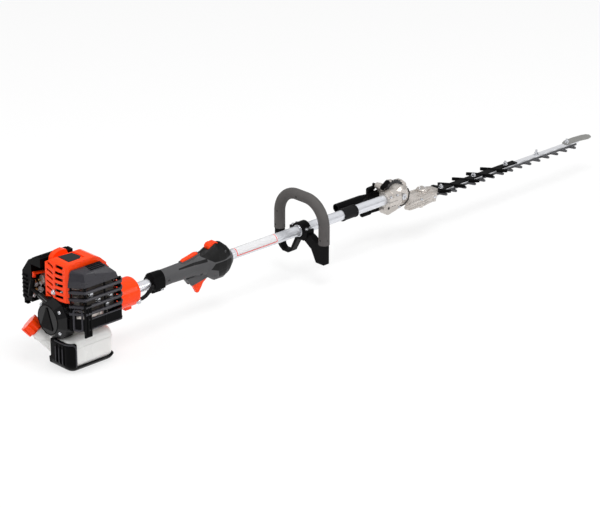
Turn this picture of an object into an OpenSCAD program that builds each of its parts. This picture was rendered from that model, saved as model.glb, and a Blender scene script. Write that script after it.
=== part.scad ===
// Long-reach articulating hedge trimmer, driven by a small two-stroke engine.
// X runs forward along the drive tube, Y to the operator's left, Z up.
// The origin is the centre of the flat underside of the tank's skid.

/* [Drive tube] */
// Height of the drive tube's axis above the ground
axis_h = 124; // [118:1:140]
// Outside diameter of the drive tube
tube_d = 25.4; // [24:0.2:27]
// Wall of the drive tube
tube_wall = 1.6; // [1.2:0.1:2.5]
// Length of the drive tube
tube_len = 880; // [820:5:1000]
// Diameter of the drive shaft inside the tube
shaft_d = 8; // [6:0.5:9]
// Number of bushes that carry the drive shaft
bush_count = 5; // [3:1:8]
// Length of the rubber storage ring on the tube
ring_len = 44; // [20:1:60]
// Wall of the rubber storage ring
ring_wall = 2.4; // [1.5:0.1:4]

/* [Engine] */
// Diameter of the crankcase
crankcase_d = 68; // [64:1:74]
// Bore of the cylinder
bore_d = 34; // [30:1:36]
// Stroke of the piston
stroke = 28; // [24:1:30]
// Diameter of the cooling fins
fin_d = 70; // [60:1:72]
// Thickness of one cooling fin
fin_t = 2; // [1.5:0.1:3]
// Number of cooling fins
fin_count = 9; // [6:1:9]
// Diameter of the crankshaft's main journals
journal_d = 12; // [10:0.5:14]
// Diameter of the flywheel
flywheel_d = 86; // [80:1:88]
// Number of fan blades on the flywheel
fan_blades = 12; // [8:1:16]
// Diameter of the clutch drum
drum_d = 54; // [48:1:55]
// Outside diameter of the clutch collar that holds the tube
collar_d = 68; // [64:1:72]
// Length of the clutch collar
collar_len = 80; // [72:1:95]
// Wall of the pressed and moulded covers
cover_wall = 2.4; // [1.8:0.2:3]
// Number of slots in the cover's corner panel
cover_slots = 6; // [4:1:7]
// Number of slats in the exhaust guard
slat_count = 4; // [3:1:4]
// Height of one slat of the exhaust guard
slat_h = 7; // [5:0.5:8]
// Across-corners diameter of the recoil starter case
starter_d = 100; // [94:1:102]
// Diameter of the starter's rope reel
reel_d = 54; // [46:1:55]
// Travel of the starter handle that is modelled
pull_len = 50; // [30:1:50]

/* [Fuel tank] */
// Length of the fuel tank
tank_l = 128; // [118:1:134]
// Width of the fuel tank
tank_w = 104; // [94:1:110]
// Height of the fuel tank
tank_h = 77; // [70:1:77]
// Radius of the tank's rounded edges
tank_r = 20; // [12:1:24]
// Thickness of the tank's skid
skid_t = 6; // [4:0.5:8]
// Diameter of the fuel cap
cap_d = 46; // [40:1:50]
// Number of finger lobes on the fuel cap
cap_lobes = 8; // [6:1:10]

/* [Rear grip] */
// Where the rear grip starts along the tube
grip_x = 192; // [186:1:210]
// Half width of the hand-hold part of the grip
grip_half_w = 17.5; // [16.5:0.5:20]
// Thickness of the throttle trigger
trigger_t = 8; // [6:0.5:10]
// Swing of the throttle trigger in degrees
trigger_swing = 20; // [12:1:20]

/* [Loop handle] */
// Where the loop handle sits along the tube
handle_x = 684; // [560:2:760]
// Distance between the centres of the handle's legs
handle_w = 154; // [140:2:170]
// Height of the handle's top centre line above the tube axis
handle_top = 86; // [80:1:96]
// Radius of the handle's two bends
handle_bend = 60; // [50:1:64]
// Diameter of the foam sleeve
foam_d = 27; // [24:0.5:30]
// Diameter of the handle's core inside the foam
core_d = 14; // [12:0.5:18]
// Width of the handle's base along the tube
base_w = 24; // [20:1:28]
// Thickness of the open strip under the handle's left leg
strip_t = 6; // [4:0.5:9]

/* [Articulating head] */
// Radius of the fixed head's barrel
barrel_r = 26; // [24:0.5:27]
// Radius over the index plate's teeth
index_r = 35; // [34:0.5:36]
// Number of teeth on the index plate
index_teeth = 24; // [18:1:30]
// Thickness of the index plate
index_t = 4; // [3:0.5:4]
// Radius of the moving case's pivot flange
flange_r = 30; // [28:0.5:31]
// Diameter of the pivot bolt
pivot_d = 10; // [8:0.5:12]
// Diameter of the folding handle's tube
adjust_d = 21; // [18:0.5:22]
// Diameter of the crank gear
crank_gear_d = 44; // [42:1:46]

/* [Blades] */
// Length of the blade bar in front of the gear case
bar_len = 560; // [450:5:600]
// Width of the blade bar
bar_w = 15; // [14:0.5:17]
// Thickness of the blade bar
bar_t = 4; // [3:0.5:5]
// Drop of the bar's top face below the tube axis
bar_drop = 25; // [24:0.5:27]
// Thickness of one blade
blade_t = 2.2; // [1.8:0.1:2.6]
// Pitch of the cutting teeth
tooth_pitch = 35; // [30:0.5:38]
// Reach of the cutting teeth from the bar's centre line
tooth_reach = 26; // [23:0.5:29]
// Pitch of the bar's guide bolts
bolt_pitch = 120; // [100:1:140]
// Number of ribs on the tooth guard
guard_ribs = 5; // [3:1:5]
// Pitch of the tooth guard's ribs
rib_pitch = 52.5; // [48:0.5:58]

/* [Hidden] */
$fn = 64;
gap = 0.3;             // air between neighbouring pieces
fit = 0.05;            // radial clearance of a shaft in its bore
eps = 0.01;            // overlap of joined solids and of cuts
soft_fn = 32;          // fineness of blended shells

// Drive tube and shaft
tube_r = tube_d / 2;
tube_x = 112;
tube_end = tube_x + tube_len;
seat_r = tube_r + gap / 3;      // bore of everything that grips the tube
drum_x = 76;

// Engine block
case_r = crankcase_d / 2;
case_back = -45;
case_front = 44;
deck_z = case_r + 5;
web_t = 8;
pin_r = 5;
cavity_r = stroke / 2 + pin_r + 10;
fin_z = deck_z + 9;
fin_pitch = 6.6;
head_z = fin_z + fin_pitch * (fin_count - 1) + fin_t;
port_y = fin_d / 2 + 9;
port_z = deck_z + 30;

// Inlet side
carb_x = -26;
carb_z = port_z - 2;
choke_at = [carb_x - 8, port_y + 22, carb_z + 13];
primer_r = 8;
cleaner_x0 = -69;
cleaner_x1 = 24;
cleaner_y = port_y + 9 + 26 + gap * 4 / 3;

// Starter
starter_r = starter_d / 2;
starter_back = -89;
starter_front = case_back - gap;
reel_r = reel_d / 2;
pull_angle = 16;                // tilt of the rope above the horizontal
rope_r = 1.8;
rope_off = reel_r + rope_r + 2;
handle_start = 51;              // where the starter handle's foot sits along the rope
reel_x = -83;

// Tank
tank_x = -5;
tank_z = skid_t;
tank_top = tank_z + tank_h;
neck_base = [-58, 43, 54];
neck_tilt = 47;
neck_turn = 132;
neck_len = 46;
neck_r = cap_d / 2 - 5;

// Collar
collar_r = collar_d / 2;
fan_r = flywheel_d / 2 + 4;
fan_back = case_front + gap;
fan_front = 76;
collar_front = fan_front + collar_len;

// Throttle conduit: its start in the collar's front face and its end in the grip's cap
conduit_r = 4.5;
conduit_y = -14;
conduit_z = -22;
conduit_start = collar_front - 12;
conduit_end_y = -19;
conduit_end_z = 0;

// Covers round the cylinder
cover_back = -73;
cover_front = 58;
cover_left = 40;
cover_right = -47;
cover_top = 137;
cover_low = 46;
shield_low = 86;
shield_high = 122;
guard_low = -16;
guard_plan = [[-68, -50], [-46, -81], [54, -81], [63, -70], [63, -50]];

// Rear grip
grip_len = 255;
cap_back = 8;           // the cap's rear face behind which the conduit runs free
cap_len = 46;
trigger_pivot = [grip_x + 184, -tube_r - 7.5];
lock_pivot = [grip_x + 153, tube_r + 7.5];
switch_x = grip_x + 188;
switch_floor = 37;
hub_r = 4;

// Loop handle
foam_r = foam_d / 2;
core_r = core_d / 2;
handle_half = handle_w / 2;
foam_low = -16;
leg_low = -66;
clamp_r = tube_r + 8;

// Articulating head, placed from its pivot
pivot_x = tube_end + 23;
sleeve_r = tube_r + 6.4;
sleeve_back = -53;
barrel_left = 15;
barrel_right = -15;
index_y = barrel_left + gap;
flange_y = index_y + index_t + gap;
flange_t = 18;
pivot_r = pivot_d / 2;
lobe_at = [-14, -38];
lobe_r = 17;
pawl_at = [-39, 25];
pawl_pin_r = 3.5;
adjust_y = flange_y + flange_t + 5;
adjust_r = adjust_d / 2;
case_x = 30;
case_front_x = 120;
case_low = -35;
case_high = -10;
lid_t = 3;
crank_x = 84;
nose_end = case_front_x + 8;
gear_z = -23.6;
gear_t = 4;
journal_r = 5;
cheek_y = 25;          // inner face of the moving case's right cheek
lid_screws = [[50, -29], [104, -22], [50, 25], [104, 22]];

// Blades, placed from the pivot
bar_z = -bar_drop;
blade_gap = 0.2;
upper_z = bar_z - bar_t - blade_gap - blade_t;
lower_z = upper_z - blade_gap - blade_t;
bar_x = case_front_x - 8;
bar_end = bar_x + bar_len;
throw = tooth_pitch / 4;
eccentric_r = throw + 1.4;
yoke_r = eccentric_r + throw + 3.4;
tooth_x = bar_x + 35;
blade_near = bar_w / 2 + 2;      // from the bar's centre line to the tooth roots
blade_far = bar_w / 2 - 0.5;     // from the centre line to the blades' straight back
bolt_rise = 13;                  // height of the bolts' ends above the bar
plate_t = 3;
bolt_x = bar_x + 40;
bolt_count = floor((bar_len - 30) / bolt_pitch) + 1;
bolt_r = 3;
tooth_count = floor((bar_len - 50) / tooth_pitch);
guard_z = bar_z + gap / 3;
guard_x = nose_end + gap;
rib_x = guard_x + 10;
guard_len = rib_pitch * (guard_ribs - 1) + 90;

orange = [1, 0.3, 0.12];
black = [0.13, 0.13, 0.14];
dark_grey = [0.33, 0.34, 0.35];
cast_metal = [0.8, 0.78, 0.75];
steel = [0.82, 0.84, 0.86];

// ---- Helpers ----

// Cylinder along X from x0 to x1, centred on the local axis
module bar_along_x(x0, x1, r) {
    translate([x0, 0, 0])
        rotate([0, 90, 0])
            cylinder(h = x1 - x0, r = r);
}

// Cylinder along Y from y0 to y1, centred on the local axis
module bar_along_y(y0, y1, r) {
    translate([0, y1, 0])
        rotate([90, 0, 0])
            cylinder(h = y1 - y0, r = r);
}

// Ring about the X axis
module ring_along_x(x0, x1, outer, inner) {
    difference() {
        bar_along_x(x0, x1, outer);
        bar_along_x(x0 - 1, x1 + 1, inner);
    }
}

// Box given by its two corners
module block(low, high) {
    translate(low)
        cube(high - low);
}

// Plate whose outline lies in the XZ plane, from y0 to y1
module plate_xz(y0, y1) {
    translate([0, y1, 0])
        rotate([90, 0, 0])
            linear_extrude(y1 - y0)
                children();
}

// Plate whose outline lies in the YZ plane, from x0 to x1
module plate_yz(x0, x1) {
    translate([x0, 0, 0])
        rotate([90, 0, 90])
            linear_extrude(x1 - x0)
                children();
}

// Rectangle with round corners, centred, made of true arcs
module round_rect(w, h, r) {
    square([w - 2 * r, h], center = true);
    square([w, h - 2 * r], center = true);
    for (sx = [-1, 1], sy = [-1, 1])
        translate([sx * (w / 2 - r), sy * (h / 2 - r)])
            circle(r = r);
}

module at_axis() {
    translate([0, 0, axis_h])
        children();
}

module at_pivot() {
    translate([pivot_x, 0, axis_h])
        children();
}

// ---- Engine block ----

module crankcase() color(cast_metal) at_axis() {
    difference() {
        union() {
            bar_along_x(case_back, case_front, case_r);
            translate([-2, 0, deck_z / 2])
                cube([64, 56, deck_z], center = true);
            // Feet that stand on the tank
            for (sx = [-1, 1])
                translate([sx * 24 - 2, 0, 0])
                    block([-7, -22, tank_top - axis_h + gap], [7, 22, 0]);
            for (sx = [-1, 1])
                translate([sx * 34 - 1, 0, 0])
                    bar_along_x(-4, 4, case_r + 4);
        }
        bar_along_x(-web_t * 2 + 1, web_t * 2 - 1, cavity_r);
        bar_along_x(case_back - 1, case_front + 1, journal_d / 2 + 2);
        for (sx = [-1, 1])
            translate([sx * 25, 0, 0])
                bar_along_x(-6, 6, journal_d + 2);
        cylinder(h = deck_z + 1, r = bore_d / 2 + 1);
    }
}

module crank_bearings() color(steel) at_axis() {
    for (sx = [-1, 1])
        translate([sx * 25, 0, 0])
            ring_along_x(-5.5, 5.5, journal_d + 2 - fit, journal_d / 2 + fit);
}

module crankshaft() color(steel) at_axis() {
    bar_along_x(case_back - 12, -web_t - 2, journal_d / 2);
    bar_along_x(web_t + 2, drum_x + 20, journal_d / 2);
    for (sx = [-1, 1])
        translate([sx * (web_t + 1), 0, 0])
            bar_along_x(-web_t / 2, web_t / 2, cavity_r - 2);
    translate([0, 0, stroke / 2])
        bar_along_x(-web_t, web_t, pin_r);
}

module piston() color(steel) at_axis() {
    difference() {
        translate([0, 0, deck_z + 18])
            cylinder(h = 28, r = bore_d / 2 - fit * 2);
        translate([0, 0, deck_z + 17])
            cylinder(h = 24, r = bore_d / 2 - 4);
        for (i = [0, 1])
            translate([0, 0, deck_z + 40 - 4 * i])
                difference() {
                    cylinder(h = 1.2, r = bore_d / 2 + 1);
                    translate([0, 0, -1])
                        cylinder(h = 4, r = bore_d / 2 - 1.2);
                }
        translate([0, 0, deck_z + 26])
            bar_along_y(-bore_d, bore_d, 4);
    }
}

module cylinder_block() color(cast_metal) at_axis() {
    difference() {
        union() {
            translate([0, 0, deck_z + gap / 3])
                cylinder(h = head_z - deck_z, r = bore_d / 2 + 6);
            translate([0, 0, deck_z + gap / 3])
                linear_extrude(6)
                    round_rect(58, 52, 6);
            for (i = [0 : fin_count - 1])
                translate([0, 0, fin_z + i * fin_pitch])
                    cylinder(h = fin_t, r = fin_d / 2);
            for (sy = [-1, 1])
                translate([0, sy * port_y / 2, port_z])
                    cube([28, port_y, 22], center = true);
        }
        translate([0, 0, deck_z - 1])
            cylinder(h = 56, r = bore_d / 2 + fit);
        for (sy = [-1, 1])
            translate([0, sy * (port_y / 2 + 8), port_z])
                bar_along_y(-port_y / 2 - 2, port_y / 2 + 2, 8);
        translate([0, 0, head_z - 14])
            cylinder(h = 20, r = 5);
    }
}

module spark_plug() color(steel) at_axis() {
    translate([0, 0, head_z - 12])
        cylinder(h = 12 + gap, r = 5 - fit);
    translate([0, 0, head_z + gap / 3 + eps])
        cylinder(h = 4, r = 9, $fn = 6);
    translate([0, 0, head_z + 4])
        cylinder(h = cover_top - cover_wall - 2 - head_z - 4, r = 6);
}

module flywheel() color(cast_metal) at_axis() {
    difference() {
        union() {
            bar_along_x(fan_back + 6, fan_back + 12, flywheel_d / 2);
            bar_along_x(fan_back + 3, fan_front - 3, 15);
            for (i = [0 : fan_blades - 1])
                rotate([i * 360 / fan_blades, 0, 0])
                    block([fan_back + 11, 14, -1.5], [fan_front - 6, flywheel_d / 2 - 1, 1.5]);
        }
        bar_along_x(fan_back - 1, fan_front + 1, journal_d / 2 + fit);
    }
}

module clutch_shoes() color(dark_grey) at_axis() {
    difference() {
        bar_along_x(drum_x + 2, drum_x + 16, drum_d / 2 - 4);
        bar_along_x(drum_x, drum_x + 20, journal_d / 2 + fit);
        for (sy = [-1, 1])
            translate([0, sy * 14, 0])
                block([drum_x, -2, 3], [drum_x + 20, 2, drum_d]);
        for (sy = [-1, 1])
            translate([0, sy * 14, 0])
                block([drum_x, -2, -drum_d], [drum_x + 20, 2, -3]);
    }
}

module clutch_drum() color(steel) at_axis() {
    difference() {
        bar_along_x(drum_x + 3, drum_x + 26, drum_d / 2);
        bar_along_x(drum_x + 2, drum_x + 22, drum_d / 2 - 2.4);
    }
    bar_along_x(drum_x + 25, tube_x - 1, 9);
}

module clutch_collar() color(orange) at_axis() {
    difference() {
        union() {
            bar_along_x(fan_back, fan_front, fan_r + 3);
            translate([fan_front, 0, 0])
                rotate([0, 90, 0])
                    cylinder(h = 14, r1 = fan_r + 3, r2 = collar_r);
            bar_along_x(fan_front + 14, collar_front - 10, collar_r);
            // Front edge with a true round
            translate([collar_front - 10, 0, 0])
                rotate([90, 0, 90])
                    rotate_extrude() {
                        square([collar_r - 10, 10]);
                        translate([collar_r - 10, 0])
                            intersection() {
                                circle(r = 10);
                                square(10);
                            }
                    }
            // Boss of the clamp screw and seat of the conduit clip
            translate([collar_front - 24, 0, -collar_r + 2])
                block([-9, -12, -7], [9, 10, 12]);
        }
        // Bore that the conduit leaves from
        translate([0, conduit_y, conduit_z])
            bar_along_x(conduit_start - gap, collar_front + 1, conduit_r + fit);
        bar_along_x(fan_back - 1, fan_front - 3, fan_r);
        bar_along_x(fan_front - 4, tube_x - 2, drum_d / 2 + 3);
        bar_along_x(tube_x - 3, collar_front + 1, seat_r);
    }
}

// ---- Recoil starter ----

module starter_case() color(black) at_axis() {
    difference() {
        union() {
            translate([starter_back + 16, 0, 0])
                rotate([0, 90, 0])
                    cylinder(h = starter_front - starter_back - 16, r = starter_r, $fn = 10);
            translate([starter_back, 0, 0])
                rotate([0, 90, 0])
                    cylinder(h = 16 + eps, r1 = starter_r - 15, r2 = starter_r, $fn = 10);
            // Rope guide
            rotate([pull_angle, 0, 0])
                translate([reel_x + 6, 0, rope_off])
                    bar_along_y(20, handle_start - gap, 7);
        }
        bar_along_x(starter_back + 5, starter_back + 19, reel_r + 3);
        bar_along_x(starter_back + 18, starter_front - 6, starter_r - 9);
        bar_along_x(starter_front - 8, starter_front + 1, 30);
        rotate([pull_angle, 0, 0])
            translate([reel_x + 6, 0, rope_off])
                bar_along_y(0, handle_start + 1, rope_r + 0.8);
    }
    // Post that the reel turns on
    bar_along_x(starter_back + 4, reel_x + 14, 5);
}

module starter_reel() color(dark_grey) at_axis() {
    difference() {
        bar_along_x(reel_x, reel_x + 12, reel_r);
        bar_along_x(reel_x - 1, reel_x + 13, 5 + fit);
        translate([reel_x + 6, 0, 0])
            rotate([0, 90, 0])
                rotate_extrude()
                    translate([reel_r + 1, 0])
                        circle(r = 4);
    }
}

module starter_handle() color(black) at_axis() {
    rotate([pull_angle, 0, 0])
        translate([reel_x + 6, 0, rope_off]) {
            bar_along_y(handle_start - pull_len + 2, handle_start + 2, rope_r);
            bar_along_y(handle_start, handle_start + 26, 4.5);
            translate([0, handle_start + 30, -18])
                cylinder(h = 36, r = 6);
            for (sz = [-18, 18])
                translate([0, handle_start + 30, sz])
                    sphere(r = 6);
        }
}

// ---- Exhaust side ----

module muffler() color([0.55, 0.52, 0.48]) at_axis() {
    translate([4, 0, port_z - 18])
        plate_xz(-port_y - gap - 27, -port_y - gap)
            round_rect(76, 62, 12);
    translate([4, 0, port_z - 18])
        plate_xz(-port_y - gap - 16, -port_y - gap - 12)
            round_rect(82, 68, 14);
    translate([28, -port_y - gap - 26, port_z - 30])
        rotate([90, 0, 0])
            difference() {
                cylinder(h = 6, r = 7);
                translate([0, 0, 1])
                    cylinder(h = 6, r = 5);
            }
}

// Upper shield's form; inset takes its wall off every side but the open ones
module shield_form(inset) {
    hull() {
        translate([0, 0, shield_low - (inset > 0 ? 1 : 0)])
            linear_extrude(1)
                polygon([[-70 + inset, -49 + 0], [-45 + inset, -79 + inset],
                         [50 - inset, -79 + inset], [60 - inset, -49]]);
        translate([0, 0, shield_low + 14])
            linear_extrude(1)
                polygon([[-68 + inset, -49], [-45 + inset, -79 + inset],
                         [44 - inset, -79 + inset], [50 - inset, -49]]);
        translate([0, 0, shield_high - 5 - inset])
            linear_extrude(1)
                polygon([[-63 + inset, -49], [-43 + inset, -74 + inset],
                         [26 - inset, -72 + inset], [28 - inset, -49]]);
        translate([0, 0, shield_high + 1 - inset])
            linear_extrude(1)
                polygon([[-58 + inset, -49], [-44 + inset, -56 + inset],
                         [20 - inset, -56 + inset], [22 - inset, -49]]);
    }
}

module muffler_shield() color(black) at_axis() {
    difference() {
        shield_form(0);
        shield_form(cover_wall);
        block([-80, -50, shield_low - 2], [80, -48, shield_low + 30]);
    }
}

// Wall of the exhaust guard between two heights, open towards the cylinder
module guard_wall(z0, z1) {
    translate([0, 0, z0])
        linear_extrude(z1 - z0)
            difference() {
                polygon(guard_plan);
                offset(delta = -cover_wall - 1)
                    polygon(guard_plan);
                translate([-60, -54])
                    square([118, 10]);
            }
}

module exhaust_guard() color(black) at_axis() {
    slat_pitch = (shield_low - gap - 14) / (slat_count + 0.2);
    guard_wall(guard_low, 12);
    for (i = [0 : slat_count - 1])
        guard_wall(14 + (i + 0.4) * slat_pitch, 14 + (i + 0.4) * slat_pitch + slat_h);
    // Posts that join the slats
    for (p = [[-65, -54], [-44, -79], [10, -79.5], [57, -76.5], [61, -54]])
        translate([p[0], p[1], guard_low])
            cylinder(h = shield_low - gap - guard_low, r = 2.4);
    // Ribbed bracket on the rear corner
    translate([-42, -81, guard_low - 14])
        difference() {
            block([-9, -3, 0], [11, 0.5, 76]);
            for (x = [-5, 3])
                block([x, -4, 5], [x + 4, -1.4, 71]);
        }
}

// ---- Engine cover ----

// Cover's form; inset takes its wall off
module cover_form(inset) {
    intersection() {
        // Roof that falls away on the left
        plate_yz(cover_back - 1, cover_front + 1)
            polygon([[cover_right, 0], [cover_right, cover_top + 9], [8, cover_top + 1 - inset],
                     [cover_left - inset, cover_top - 19 - inset], [cover_left - inset, 0]]);
        plate_xz(cover_right + inset, cover_left - inset)
            polygon([[cover_back + inset, cover_low - (inset > 0 ? 9 : 0)],
                     [cover_back + 2 + inset, cover_top - 22],
                     [cover_back + 7 + inset, cover_top - 4 - inset],
                     [cover_back + 14 + inset, cover_top - inset],
                     [12, cover_top + 1 - inset],
                     [26 - inset / 2, cover_top - 6 - inset],
                     [42 - inset, cover_top - 21 - inset],
                     [cover_front - inset, cover_top - 44],
                     [cover_front - inset, cover_low - (inset > 0 ? 9 : 0)]]);
        translate([0, 0, cover_low - 10])
            linear_extrude(cover_top)
                polygon([[cover_back + inset, cover_left - 16],
                         [cover_back + inset, -8],
                         [cover_back + 5 + inset, cover_right + 6],
                         [cover_back + 10 + inset, cover_right + inset],
                         [cover_front - 8, cover_right + inset],
                         [cover_front - inset, cover_right + 8],
                         [cover_front - inset, cover_left - 12],
                         [cover_front - 12 - inset, cover_left - inset],
                         [cover_back + 16, cover_left - inset]]);
    }
}

module engine_cover() color(orange) at_axis() {
    slot_low = cover_low + 7;
    slot_h = 7;
    slot_pitch = (cover_top - 15 - slot_low) / (cover_slots - 1);
    // Bump over the plug on the roof's left side
    plate_xz(23, 37)
        polygon([[-54, 114], [-51, 130], [-45, 137], [-36, 141.5], [-20, 143], [-12, 140], [-2, 118]]);
    difference() {
        cover_form(0);
        cover_form(cover_wall);
        // Window on the exhaust side
        block([cover_back + 17, cover_right - 1, cover_low - 12],
              [cover_front - 6, cover_right + 5, shield_low + 26]);
        // Window for the inlet
        block([-34, cover_left - 5, cover_low - 12], [40, cover_left + 1, 100]);
        for (i = [0 : cover_slots - 1]) {
            // Slots in the rear corner panel
            block([cover_back - 1, -33, slot_low + i * slot_pitch],
                  [cover_back + 12, -8, slot_low + i * slot_pitch + slot_h]);
            // Slanting louvres in the rear face
            plate_yz(cover_back - 1, cover_back + 12)
                polygon([[20, slot_low + i * slot_pitch + 6], [20, slot_low + i * slot_pitch + 1],
                         [-1, slot_low + i * slot_pitch - 5], [-1, slot_low + i * slot_pitch]]);
        }
        // Recessed panel in the top
        block([cover_back + 22, -34, cover_top - 1.4], [-6, 12, cover_top + 4]);
        // Room for the starter case and the fan housing
        bar_along_x(cover_back - 1, case_back + 2, starter_r + gap);
        bar_along_x(fan_back - gap, fan_front, fan_r + 3 + gap);
    }
}

// ---- Inlet side ----

module intake_block() color(black) at_axis() {
    difference() {
        block([-38, port_y + gap, port_z - 15], [14, port_y + 9, port_z + 15]);
        translate([0, 0, port_z])
            bar_along_y(port_y, port_y + 10, 8);
    }
}

module carburetor() color(cast_metal) at_axis() {
    difference() {
        translate([carb_x, port_y + 9 + gap, carb_z]) {
            block([-16, 0, -15], [16, 26, 13]);
            translate([0, 13, 0])
                bar_along_x(-24, -15, 9);
            translate([0, 13, -9])
                bar_along_x(-29, -15, 4);
            translate([0, 13, -23])
                block([-12, -11, 0], [12, 11, 9]);
        }
        translate([carb_x, 0, carb_z])
            bar_along_y(port_y, port_y + 40, 9);
        // Seat of the primer bulb and bore of the choke lever's pin
        translate([carb_x, port_y + 22 + gap, carb_z - 24])
            cylinder(h = 7, r = primer_r + gap);
        translate([choke_at[0], choke_at[1], choke_at[2] - 3.5])
            cylinder(h = 5, r = 2.5 + fit);
    }
}

module choke_lever() color(orange) at_axis() {
    translate(choke_at) {
        translate([0, 0, -3])
            cylinder(h = 6, r = 2.5);
        translate([0, 0, gap])
            linear_extrude(4) {
                circle(r = 6);
                polygon([[-1, -5.5], [3, 5], [-30, 12], [-33, 5]]);
            }
        translate([-31, 8, gap - 7])
            cylinder(h = 12, r = 4);
    }
}

module primer_bulb() color(dark_grey) at_axis() {
    translate([carb_x, port_y + 22 + gap, carb_z - 21])
        rotate([180, 0, 0]) {
            cylinder(h = 4, r = primer_r);
            translate([0, 0, 4])
                difference() {
                    sphere(r = primer_r - 1);
                    translate([0, 0, -10])
                        cube(20, center = true);
                }
        }
}

// Plate that closes the air cleaner's inner side, with the inlet stub
module air_cleaner_base() color(black) at_axis() {
    difference() {
        union() {
            plate_yz(cleaner_x0, cleaner_x1)
                intersection() {
                    cleaner_profile(0);
                    translate([cleaner_y, 0])
                        square([2.4, 104 - gap]);
                }
            translate([carb_x, cleaner_y, carb_z])
                bar_along_y(0, 12, 12);
        }
        translate([carb_x, cleaner_y - 1, carb_z])
            bar_along_y(0, 14, 9);
    }
}

// Air cleaner's side profile, seen along the shaft
module cleaner_profile(inset) {
    polygon([[cleaner_y, 12 + inset], [112 - inset, 14 + inset], [112 - inset, 80],
             [88 - inset / 2, 112 - inset], [62, 126 - inset], [46 + inset, 125 - inset],
             [46 + inset, 104], [cleaner_y, 104]]);
}

module air_cleaner_cover() color(black) at_axis() {
    difference() {
        plate_yz(cleaner_x0, cleaner_x1)
            cleaner_profile(0);
        plate_yz(cleaner_x0 + cover_wall, cleaner_x1 - cover_wall)
            cleaner_profile(cover_wall);
        // Step that the base plate sits in
        block([cleaner_x0 - 1, cleaner_y - 1, 0], [cleaner_x1 + 1, cleaner_y + 2.4 + gap, 104]);
        // Grooves moulded in the outer side
        for (i = [0 : 4])
            block([-62 + i * 17, 111, 20], [-54 + i * 17, 114, 76]);
    }
    // Latch hook
    translate([-66, 100, 2])
        difference() {
            block([-3, -4, 0], [5, 8, 13]);
            block([-4, -5, 3], [2, 4, 8]);
        }
}

// ---- Fuel tank ----

// Tank's form, grown outwards by g
module tank_form(g) {
    difference() {
        hull()
            for (sx = [-1, 1], sy = [-1, 1], sz = [-1, 1])
                translate([tank_x + sx * (tank_l / 2 - tank_r), sy * (tank_w / 2 - tank_r),
                           tank_z + tank_h / 2 + sz * (tank_h / 2 - tank_r)])
                    sphere(r = tank_r + g, $fn = soft_fn);
        // Rear left corner cut away under the neck
        translate([tank_x - tank_l / 2, 12, -10])
            rotate([0, 0, 56])
                translate([-60, g, 0])
                    cube([180, 80, tank_h + 40]);
    }
}

module neck(h0, h1, r) {
    translate(neck_base)
        rotate([0, neck_tilt, neck_turn])
            translate([0, 0, h0])
                cylinder(h = h1 - h0, r = r);
}

module fuel_tank() color([0.93, 0.93, 0.9]) {
    difference() {
        union() {
            tank_form(0);
            neck(-30, neck_len - 12, neck_r);
        }
        neck(neck_len - 34, neck_len, neck_r - 3);
        // Room for the starter case and the crankcase
        translate([0, 0, axis_h]) {
            bar_along_x(starter_back, starter_front + 2, starter_r + gap);
            bar_along_x(starter_front, fan_back + 1, case_r + 5);
            bar_along_x(fan_back - 1, tank_x + tank_l, fan_r + 4);
        }
    }
}

module fuel_cap() color(orange) {
    neck(neck_len - 30, neck_len - 6, neck_r - 3.6);
    difference() {
        neck(neck_len - 12 + gap, neck_len + 12, cap_d / 2);
        for (i = [0 : cap_lobes - 1])
            translate(neck_base)
                rotate([0, neck_tilt, neck_turn])
                    rotate([0, 0, (i + 0.5) * 360 / cap_lobes])
                        translate([cap_d / 2 + 3, 0, neck_len - 13])
                            cylinder(h = 30, r = 6);
    }
}

module tank_skid() color(black) {
    difference() {
        intersection() {
            tank_form(skid_t);
            union() {
                block([-120, -80, -1], [120, 80, skid_t + 2]);
                block([-120, -80, 0], [120, 8, skid_t + 8]);
                block([-120, -tank_w / 2 - 8, 0], [tank_x - tank_l / 2 + 14, 12, 72]);
                block([tank_x + tank_l / 2 - 12, -26, 0], [120, 26, 44]);
            }
        }
        tank_form(gap);
        neck(-30, neck_len, neck_r + gap);
        // Grooves up the rear
        for (y = [-36, -24, -12])
            block([tank_x - tank_l / 2 - skid_t - 1, y - 3, 20],
                  [tank_x - tank_l / 2 - skid_t + 2, y + 3, 66]);
    }
}

// ---- Drive tube ----

module drive_tube() color(steel) at_axis() {
    ring_along_x(tube_x, tube_end, tube_r, tube_r - tube_wall);
}

module drive_shaft() color(dark_grey) at_axis() {
    bar_along_x(tube_x - 1, pivot_x - 19, shaft_d / 2);
    // Pinion that drives the pivot gear
    translate([pivot_x - 19 - eps, 0, 0])
        difference() {
            rotate([0, 90, 0])
                cylinder(h = 6, r1 = 9, r2 = 6);
            for (i = [0 : 9])
                rotate([i * 36, 0, 0])
                    block([-1, -1, 6.4], [8, 1, 12]);
        }
}

module shaft_bushes() color(black) at_axis() {
    bush_step = (tube_len - 60) / (bush_count - 1);
    for (i = [0 : bush_count - 1])
        translate([tube_x + 20 + i * bush_step, 0, 0])
            ring_along_x(0, 20, tube_r - tube_wall - fit, shaft_d / 2 + fit);
}

module storage_ring() color(black) at_axis() {
    translate([tube_end - 175, 0, 0])
        difference() {
            union() {
                bar_along_x(0, ring_len, tube_r + ring_wall);
                for (x = [0, ring_len - 4])
                    bar_along_x(x, x + 4, tube_r + ring_wall + 0.8);
            }
            bar_along_x(-1, ring_len + 1, seat_r);
        }
}

// ---- Rear grip ----

// Cross-section slice of the grip: place along the tube, top, bottom, half width
module grip_slice(x, top, low, half) {
    translate([x, 0, (top + low) / 2])
        rotate([0, 90, 0])
            linear_extrude(0.5)
                scale([(top - low) / 2 / half, 1])
                    circle(r = half, $fn = soft_fn);
}

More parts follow.
